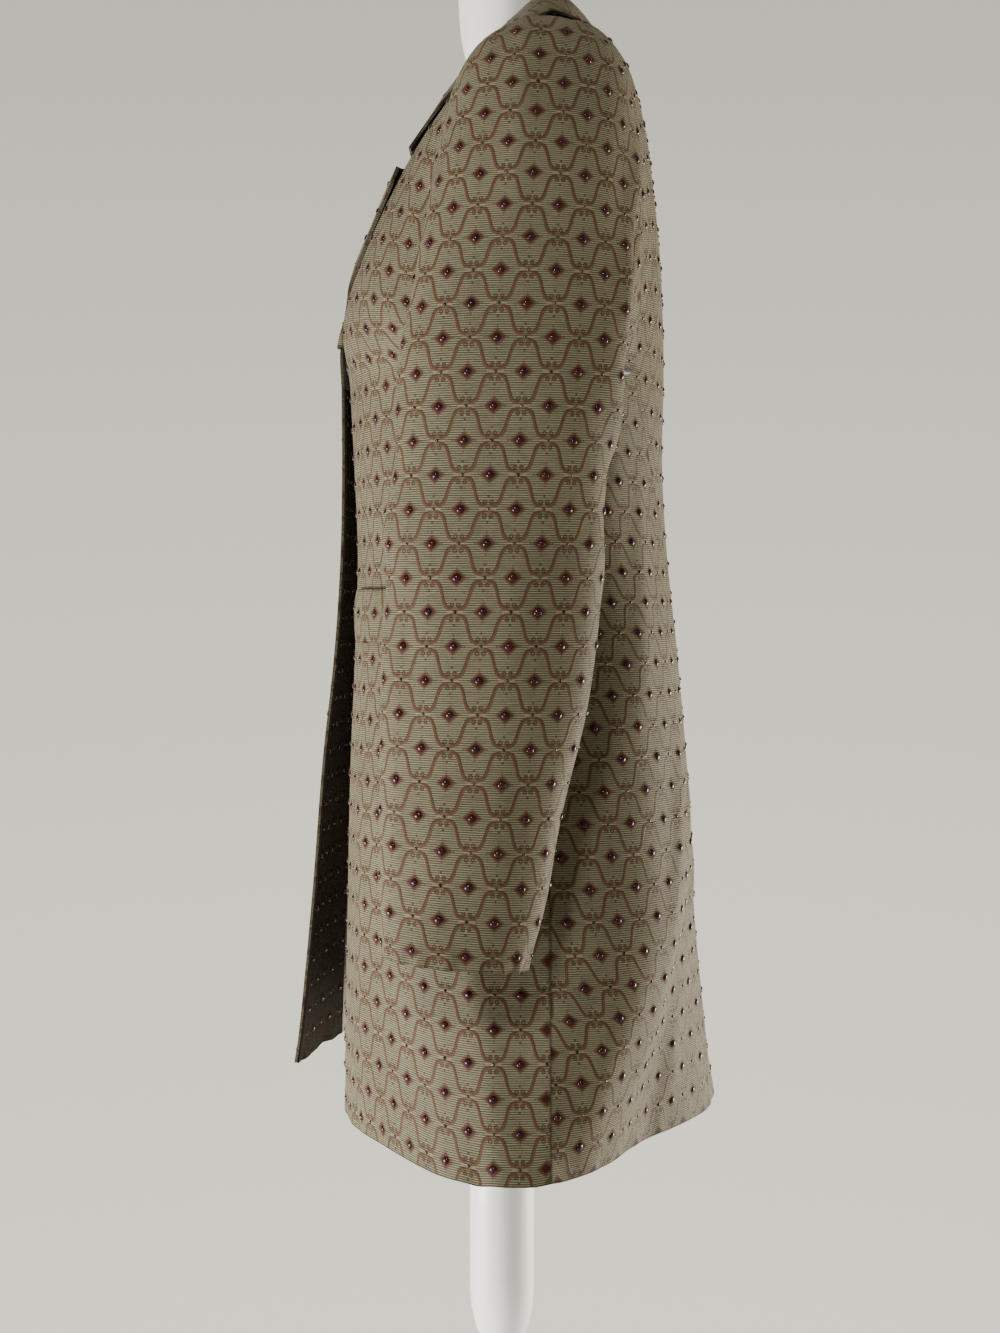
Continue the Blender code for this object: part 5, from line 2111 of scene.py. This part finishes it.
    def develop_cap(self, points: Grid, flat: Grid, heights: Grid, rise: Grid) -> None:
        """Lays the cap flat along level lines, so that the weave stays level over it.

        Args:
            points: the cap's points from the top of the arm to the armhole.
            flat: the cap's flat coordinates, which are changed.
            heights: heights of the whole sleeve's outside column.
            rise: lengths along that column.
        """
        least_climb = 1e-7
        climb = np.maximum.accumulate(points[..., 2], axis=0) + least_climb * np.arange(len(points))[:, None]
        middle = self.columns // 2
        levels = np.linspace(heights[self.arm_rows - 1], heights[-1], self.levels)
        across = np.empty((self.levels, self.columns))
        for index, level in enumerate(levels):
            line = np.array(
                [
                    [np.interp(level, climb[:, place], points[:, place, axis]) for axis in range(3)]
                    for place in range(self.columns)
                ]
            )
            lengths = lengths_of(line)
            across[index] = lengths - lengths[middle]
            across[index] -= self.grain_place(level, line, across[index])
        for place in range(self.columns):
            flat[:, place, 0] = np.interp(climb[:, place], levels, across[:, place])
            flat[:, place, 1] = np.interp(climb[:, place], heights, rise)


@dataclass
class Revers:
    """The lapels and the collar."""

    lapel_rows: int = 40
    lapel_columns: int = 26
    leg_columns: int = 5
    turn_columns: int = 9
    lapel_crown: float = 0.0012
    crown_ease: float = 0.1
    collar_columns: int = 57
    collar_steps: int = 34

    def lapel(self, side: Side) -> Cloth:
        """A lapel: a leg inside the front, a turn round the roll line and the leg that shows.

        Args:
            side: the wearer's side.

        Returns:
            The cloth.
        """
        patch = Patch(side, False)
        t = np.linspace(BREAK_T, GORGE_T, self.lapel_rows)
        reach = column(LAPEL_ROWS, "reach", t, "t")
        lift = column(LAPEL_ROWS, "lift", t, "t")
        thickness = LIFT + FACING_WALL
        radius = WALL / 2 + thickness
        edge = patch.point(0.0 * t, t)
        normal = patch.normal(0.0 * t, t)
        step = 0.01
        across = patch.point(0.0 * t + step, t) - edge
        across = unit(across - normal * np.sum(across * normal, axis=-1, keepdims=True))
        columns = []
        for leg in np.linspace(*LAPEL_TURN_IN, self.leg_columns):
            share = np.full(t.shape, leg)
            columns.append(patch.point(share, t) - (WALL + thickness) * patch.normal(share, t))
        for turn in np.linspace(-math.pi / 2, math.pi / 2, self.turn_columns):
            rise = normal * (radius * math.sin(turn) - WALL / 2)
            columns.append(edge + rise - across * (radius * math.cos(turn) + SEAM))
        for out in np.linspace(0.0, 1.0, self.lapel_columns)[1:]:
            share = reach * out
            crown = self.lapel_crown * math.sin(math.pi * out) * ease((t - BREAK_T) / self.crown_ease)
            height = thickness + (lift * out + crown)
            columns.append(patch.point(share, t) + height[:, None] * patch.normal(share, t))
        points = np.stack(columns, axis=1)
        normals = unit(np.cross(np.gradient(points, axis=1), np.gradient(points, axis=0)) * side.value)
        on = (f"{side.hand}_front",)
        return Cloth(f"{side.hand}_lapel", points, normals, thickness - SEAM, hold=Hold.FOLDED, rests_on=on)

    def collar_half(self, side: Side) -> Grid:
        """Neck edge, fold and outer edge of half the collar, from the nape to its front end.

        Args:
            side: the wearer's side.

        Returns:
            Three points for each place.
        """
        behind, front = Patch(side, True), Patch(side, False)
        rises = []
        outers = []
        for row in COLLAR_ROWS:
            patch = behind if row.place < 1.0 else front
            rises.append(np.array((side.value * row.rise_x, row.rise_y, row.rise_z)))
            out = patch.normal(row.edge_s, row.edge_t)
            outers.append(patch.point(row.edge_s, row.edge_t) + row.lift * out)
        places = [-COLLAR_ROWS[1].place] + [row.place for row in COLLAR_ROWS]
        rises.insert(0, rises[1] * (-1.0, 1.0, 1.0))
        outers.insert(0, outers[1] * (-1.0, 1.0, 1.0))
        lines = []
        for place in np.linspace(0.0, places[-1], self.collar_columns):
            if place < 1.0:
                edge = behind.point(NECK_SHARE * place, 1.0)
            else:
                edge = front.point(0.0, 1.0 + (COLLAR_FRONT_T - 1.0) * (place - 1.0))
            rise = spline(places, rises, place)
            foot = edge + rise * LIFT / np.linalg.norm(rise)
            lines.append((foot, edge + rise, spline(places, outers, place)))
        return np.array(lines)

    def collar(self) -> Cloth:
        """The turned-down collar: stand, fold and fall.

        Returns:
            The cloth.
        """
        lines = np.concatenate((self.collar_half(Side.LEFT)[::-1], self.collar_half(Side.RIGHT)[1:]))
        grid = []
        for foot, fold, outer in lines:
            base = (foot + outer) / 2
            down = unit(base - fold)
            aside = unit((outer - foot) - down * np.dot(outer - foot, down))
            radius = min(FOLD_RADIUS, FOLD_SHARE * float(np.linalg.norm(fold - foot)))
            turned = fold + radius * (down + aside)
            path = (
                foot - aside * WALL / 2,
                fold + radius * (down - aside),
                fold,
                turned,
                (turned + outer) / 2 + COLLAR_BULGE * (aside - down),
                outer,
            )
            grid.append(along(path, np.linspace(0.0, 1.0, self.collar_steps)))
        points = np.array(grid)
        normals = unit(np.cross(np.gradient(points, axis=0), np.gradient(points, axis=1)))
        points = np.swapaxes(points, 0, 1)[::-1]
        normals = np.swapaxes(normals, 0, 1)[::-1]
        on = ("back", "left_front", "right_front")
        return Cloth("collar", points, normals, hold=Hold.FOLDED, rests_on=on)


@dataclass
class Coat:
    """The whole coat: every cloth piece and its beads."""

    finishes: Finishes
    sewing: BeadSewing
    panels: Panels = field(default_factory=Panels)
    revers: Revers = field(default_factory=Revers)

    def cloths(self) -> list[tuple[Cloth, bool]]:
        """Every piece, and whether its inner side is lining.

        Returns:
            Pairs of a cloth and that answer.
        """
        made: list[tuple[Cloth, bool]] = []
        for side in Side:
            made.append((self.panels.front(side), True))
            made.append((self.panels.side_back(side), True))
            made.append((Sleeve(side).cloth(), True))
            made.append((self.revers.lapel(side), False))
            made.append((self.panels.facing(side), False))
            made.append((self.panels.flap(side), True))
        made.append((self.panels.back(), True))
        made.append((self.revers.collar(), False))
        return made

    def build(self) -> None:
        """Makes, dresses and declares every cloth piece."""
        for cloth, lined in self.cloths():
            piece = cloth.build(self.finishes, lined)
            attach(piece, ROOT)
            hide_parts(cloth.name)
            beads = []
            for kind, material in ((GARNET_ROW, self.finishes.garnet), (BRONZE_ROW, self.finishes.bronze)):
                sewn = self.sewing.sew(cloth, kind, material)
                if sewn is not None:
                    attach(sewn, ROOT)
                    beads.append(sewn)
            extent = np.ptp(cloth.flat.reshape(-1, 2), axis=0)
            flat = (round(float(extent[0]), 3), round(float(extent[1]), 3))
            area = min(cloth.area(), flat[0] * flat[1])
            count = sum(len(bead.data.polygons) for bead in beads)
            LOG.info("%s: cut %.3f x %.3f m, %.4f m2, %d bead faces", piece.name, *flat, area, count)


class Turn(NamedTuple):
    """A point of a turned profile."""

    radius: float
    z: float


@dataclass
class Stand:
    """The limbless dress form with its post and base."""

    finishes: Finishes
    sides: int = 96
    form_rows: int = 120
    neck_round: float = 0.006
    post: tuple[Turn, ...] = (
        Turn(0.0002, 0.7997),
        Turn(0.0236, 0.7997),
        Turn(0.0236, 0.660),
        Turn(0.0236, 0.512),
        Turn(0.0225, 0.498),
        Turn(0.0196, 0.484),
        Turn(0.0150, 0.474),
        Turn(0.0125, 0.466),
        Turn(0.0125, 0.250),
        Turn(0.0125, 0.034),
        Turn(0.0210, 0.026),
        Turn(0.0250, 0.0163),
        Turn(0.0002, 0.0163),
    )
    base: tuple[Turn, ...] = (
        Turn(0.0002, 0.016),
        Turn(0.080, 0.016),
        Turn(0.158, 0.016),
        Turn(0.165, 0.0150),
        Turn(0.1692, 0.0118),
        Turn(0.170, 0.009),
        Turn(0.170, 0.0008),
        Turn(0.1692, 0.0),
        Turn(0.0002, 0.0),
    )

    def loft(self, name: str, rings: Grid) -> Object:
        """A closed body through level rings.

        Args:
            name: the piece's name.
            rings: points, ring by ring from the top down.

        Returns:
            The new piece, in the scene.
        """
        rows, sides = rings.shape[:2]
        index = np.arange(rows * sides).reshape(rows, sides)
        after = np.roll(index, -1, axis=1)
        quads = np.stack((index[:-1], index[1:], after[1:], after[:-1]), axis=-1).reshape(-1, 4).tolist()
        faces = quads + [index[0].tolist(), index[-1, ::-1].tolist()]
        mesh = bpy.data.meshes.new(name)
        mesh.from_pydata(rings.reshape(-1, 3).tolist(), [], faces)
        mesh.shade_smooth()
        mesh.set_sharp_from_angle(angle=STAND_CREST)
        return in_scene(name, mesh)

    def ring(self, half_width: float, depth: float, centre: float, z: float) -> Grid:
        """One level ring of points.

        Args:
            half_width: its half width.
            depth: its half depth.
            centre: y of its middle.
            z: its height.

        Returns:
            The points.
        """
        angles = np.arange(self.sides) / self.sides * 2 * math.pi
        x, y = half_width * np.cos(angles), centre + depth * np.sin(angles)
        return np.stack((x, y, np.full(self.sides, z)), axis=-1)

    def torso(self) -> Object:
        """The form, with a softly rounded neck end.

        Returns:
            The new piece, in the scene.
        """
        rings = []
        for z in np.linspace(FORM_RINGS[-1].z, FORM_RINGS[0].z, self.form_rows):
            half_width, front, back = (column(FORM_RINGS, name, z, "z") for name in FormRing._fields[1:])
            below = min(1.0, (FORM_RINGS[-1].z - z) / self.neck_round)
            inset = self.neck_round * (1.0 - math.sqrt(1.0 - (1.0 - below) ** 2))
            rings.append(self.ring(half_width - inset, (back - front) / 2 - inset, (front + back) / 2, z))
        return self.loft("form_torso_cover", np.array(rings))

    def turned(self, name: str, profile: tuple[Turn, ...]) -> Object:
        """A turned piece."""
        rings = [self.ring(turn.radius, turn.radius, 0.0, turn.z) for turn in profile]
        return self.loft(name, np.array(rings))

    def build(self) -> None:
        """Makes and dresses form, post and base."""
        pieces = (
            (self.torso(), "form_torso", self.finishes.cover),
            (self.turned("stand_post_paint", self.post), "stand_post", self.finishes.paint),
            (self.turned("stand_base_paint", self.base), "stand_base", self.finishes.paint),
        )
        for piece, node, material in pieces:
            piece.data.materials.append(material)
            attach(piece, ROOT)
            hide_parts(node)
            LOG.info("%s: %d faces", piece.name, len(piece.data.polygons))


@dataclass
class Lamp:
    """A soft area light that looks at a point."""

    name: str
    place: Triple
    target: Triple
    size: Pair
    power: float
    colour: Triple

    def build(self) -> None:
        """Makes the light."""
        data = bpy.data.lights.new(self.name, "AREA")
        data.shape = "RECTANGLE"
        data.size, data.size_y = self.size
        data.energy = self.power
        data.color = self.colour
        lamp = in_scene(self.name, data)
        lamp.location = self.place
        way = np.array(self.target) - np.array(self.place)
        flat = math.hypot(way[0], way[1])
        lamp.rotation_euler = (math.atan2(flat, -way[2]), 0.0, math.atan2(way[1], way[0]) - math.pi / 2)


@dataclass
class Studio:
    """Floor, light and camera. The room's own light is the backdrop, so that no wall hides the coat."""

    floor_end_x: float = -1.10
    floor_slant: float = 0.092
    floor_reach: float = 4.0
    camera_place: Triple = (1.38, 0.0, 1.016)
    focal_pixels: float = 1900.0
    axis_column: float = 502.0
    horizon_row: float = 600.0
    image: tuple[int, int] = (1000, 1333)
    film: float = 36.0
    lamps: tuple[Lamp, ...] = (
        Lamp("window_before", (0.46, -1.40, 0.36), (0.0, -0.1, 0.58), (0.9, 0.6), 56.0, (1.0, 0.98, 0.95)),
        Lamp("window_behind", (-0.66, 1.62, 0.50), (0.0, 0.1, 0.68), (0.9, 0.8), 66.0, (1.0, 0.94, 0.84)),
        Lamp("room_lamp", (1.60, -0.40, 1.80), (0.0, 0.0, 1.05), (0.22, 0.22), 16.0, (1.0, 0.97, 0.92)),
    )
    room: Triple = (1.0, 0.967, 0.81)
    room_level: float = 0.73
    room_behind: float = 0.26
    room_fall: float = 0.85
    room_range: Pair = (0.5, 1.3)

    def sheet(self, name: str, corners: Sequence[Triple], finish: PlainFinish) -> None:
        """A plain surface of the room.

        Args:
            name: its name.
            corners: its four corners.
            finish: its finish.
        """
        mesh = bpy.data.meshes.new(name)
        mesh.from_pydata(list(corners), [], [(0, 1, 2, 3)])
        mesh.materials.append(finish.material(name))
        in_scene(name, mesh)

    def build(self) -> None:
        """Makes the floor, the lights and the camera."""
        far = self.floor_reach
        near = self.floor_end_x - self.floor_slant * far
        deep = self.floor_end_x + self.floor_slant * far
        self.sheet("floor", ((near, -far, 0), (far, -far, 0), (far, far, 0), (deep, far, 0)), FLOOR)
        for lamp in self.lamps:
            lamp.build()
        self.surround()
        self.camera()
        LOG.info("studio: %d lights", len(self.lamps))

    def surround(self) -> None:
        """The room's own light: bright behind the coat and low down, dim above and behind the camera."""
        world = bpy.data.worlds.new("room_light")
        world.use_nodes = True
        tree = world.node_tree
        shader = tree.nodes["Background"]
        apart = tree.nodes.new("ShaderNodeSeparateXYZ")
        tree.links.new(tree.nodes.new("ShaderNodeTexCoord").outputs["Generated"], apart.inputs[0])
        low, high = self.room_range
        fall = (Value(tree, apart.outputs["Z"]) * self.room_fall).less_from(1.0)
        fall = fall.math("MAXIMUM", low).math("MINIMUM", high)
        level = (Value(tree, apart.outputs["X"]) * self.room_behind).less_from(self.room_level)
        shader.inputs["Color"].default_value = (*self.room, 1.0)
        tree.links.new((level * fall).socket, shader.inputs["Strength"])
        bpy.context.scene.world = world

    def camera(self) -> None:
        """The photograph's camera: its axis is level but for a small fall."""
        width, height = self.image
        pitch = math.atan((height / 2 - self.horizon_row) / self.focal_pixels)
        yaw = math.atan((width / 2 - self.axis_column) / self.focal_pixels)
        data = bpy.data.cameras.new("camera")
        data.sensor_width = self.film
        data.lens = self.focal_pixels * math.cos(pitch) / height * data.sensor_width
        camera = in_scene("camera", data)
        camera.location = self.camera_place
        camera.rotation_euler = (math.pi / 2 - pitch, 0.0, math.pi / 2 - yaw)
        bpy.context.scene.camera = camera


def main() -> None:
    """Builds everything in order."""
    logging.basicConfig(level=logging.INFO, format="%(name)s %(message)s")
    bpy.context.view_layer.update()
    finishes = Finishes()
    Stand(finishes).build()
    Coat(finishes, BeadSewing()).build()
    Studio().build()


if __name__ == "__main__":
    main()
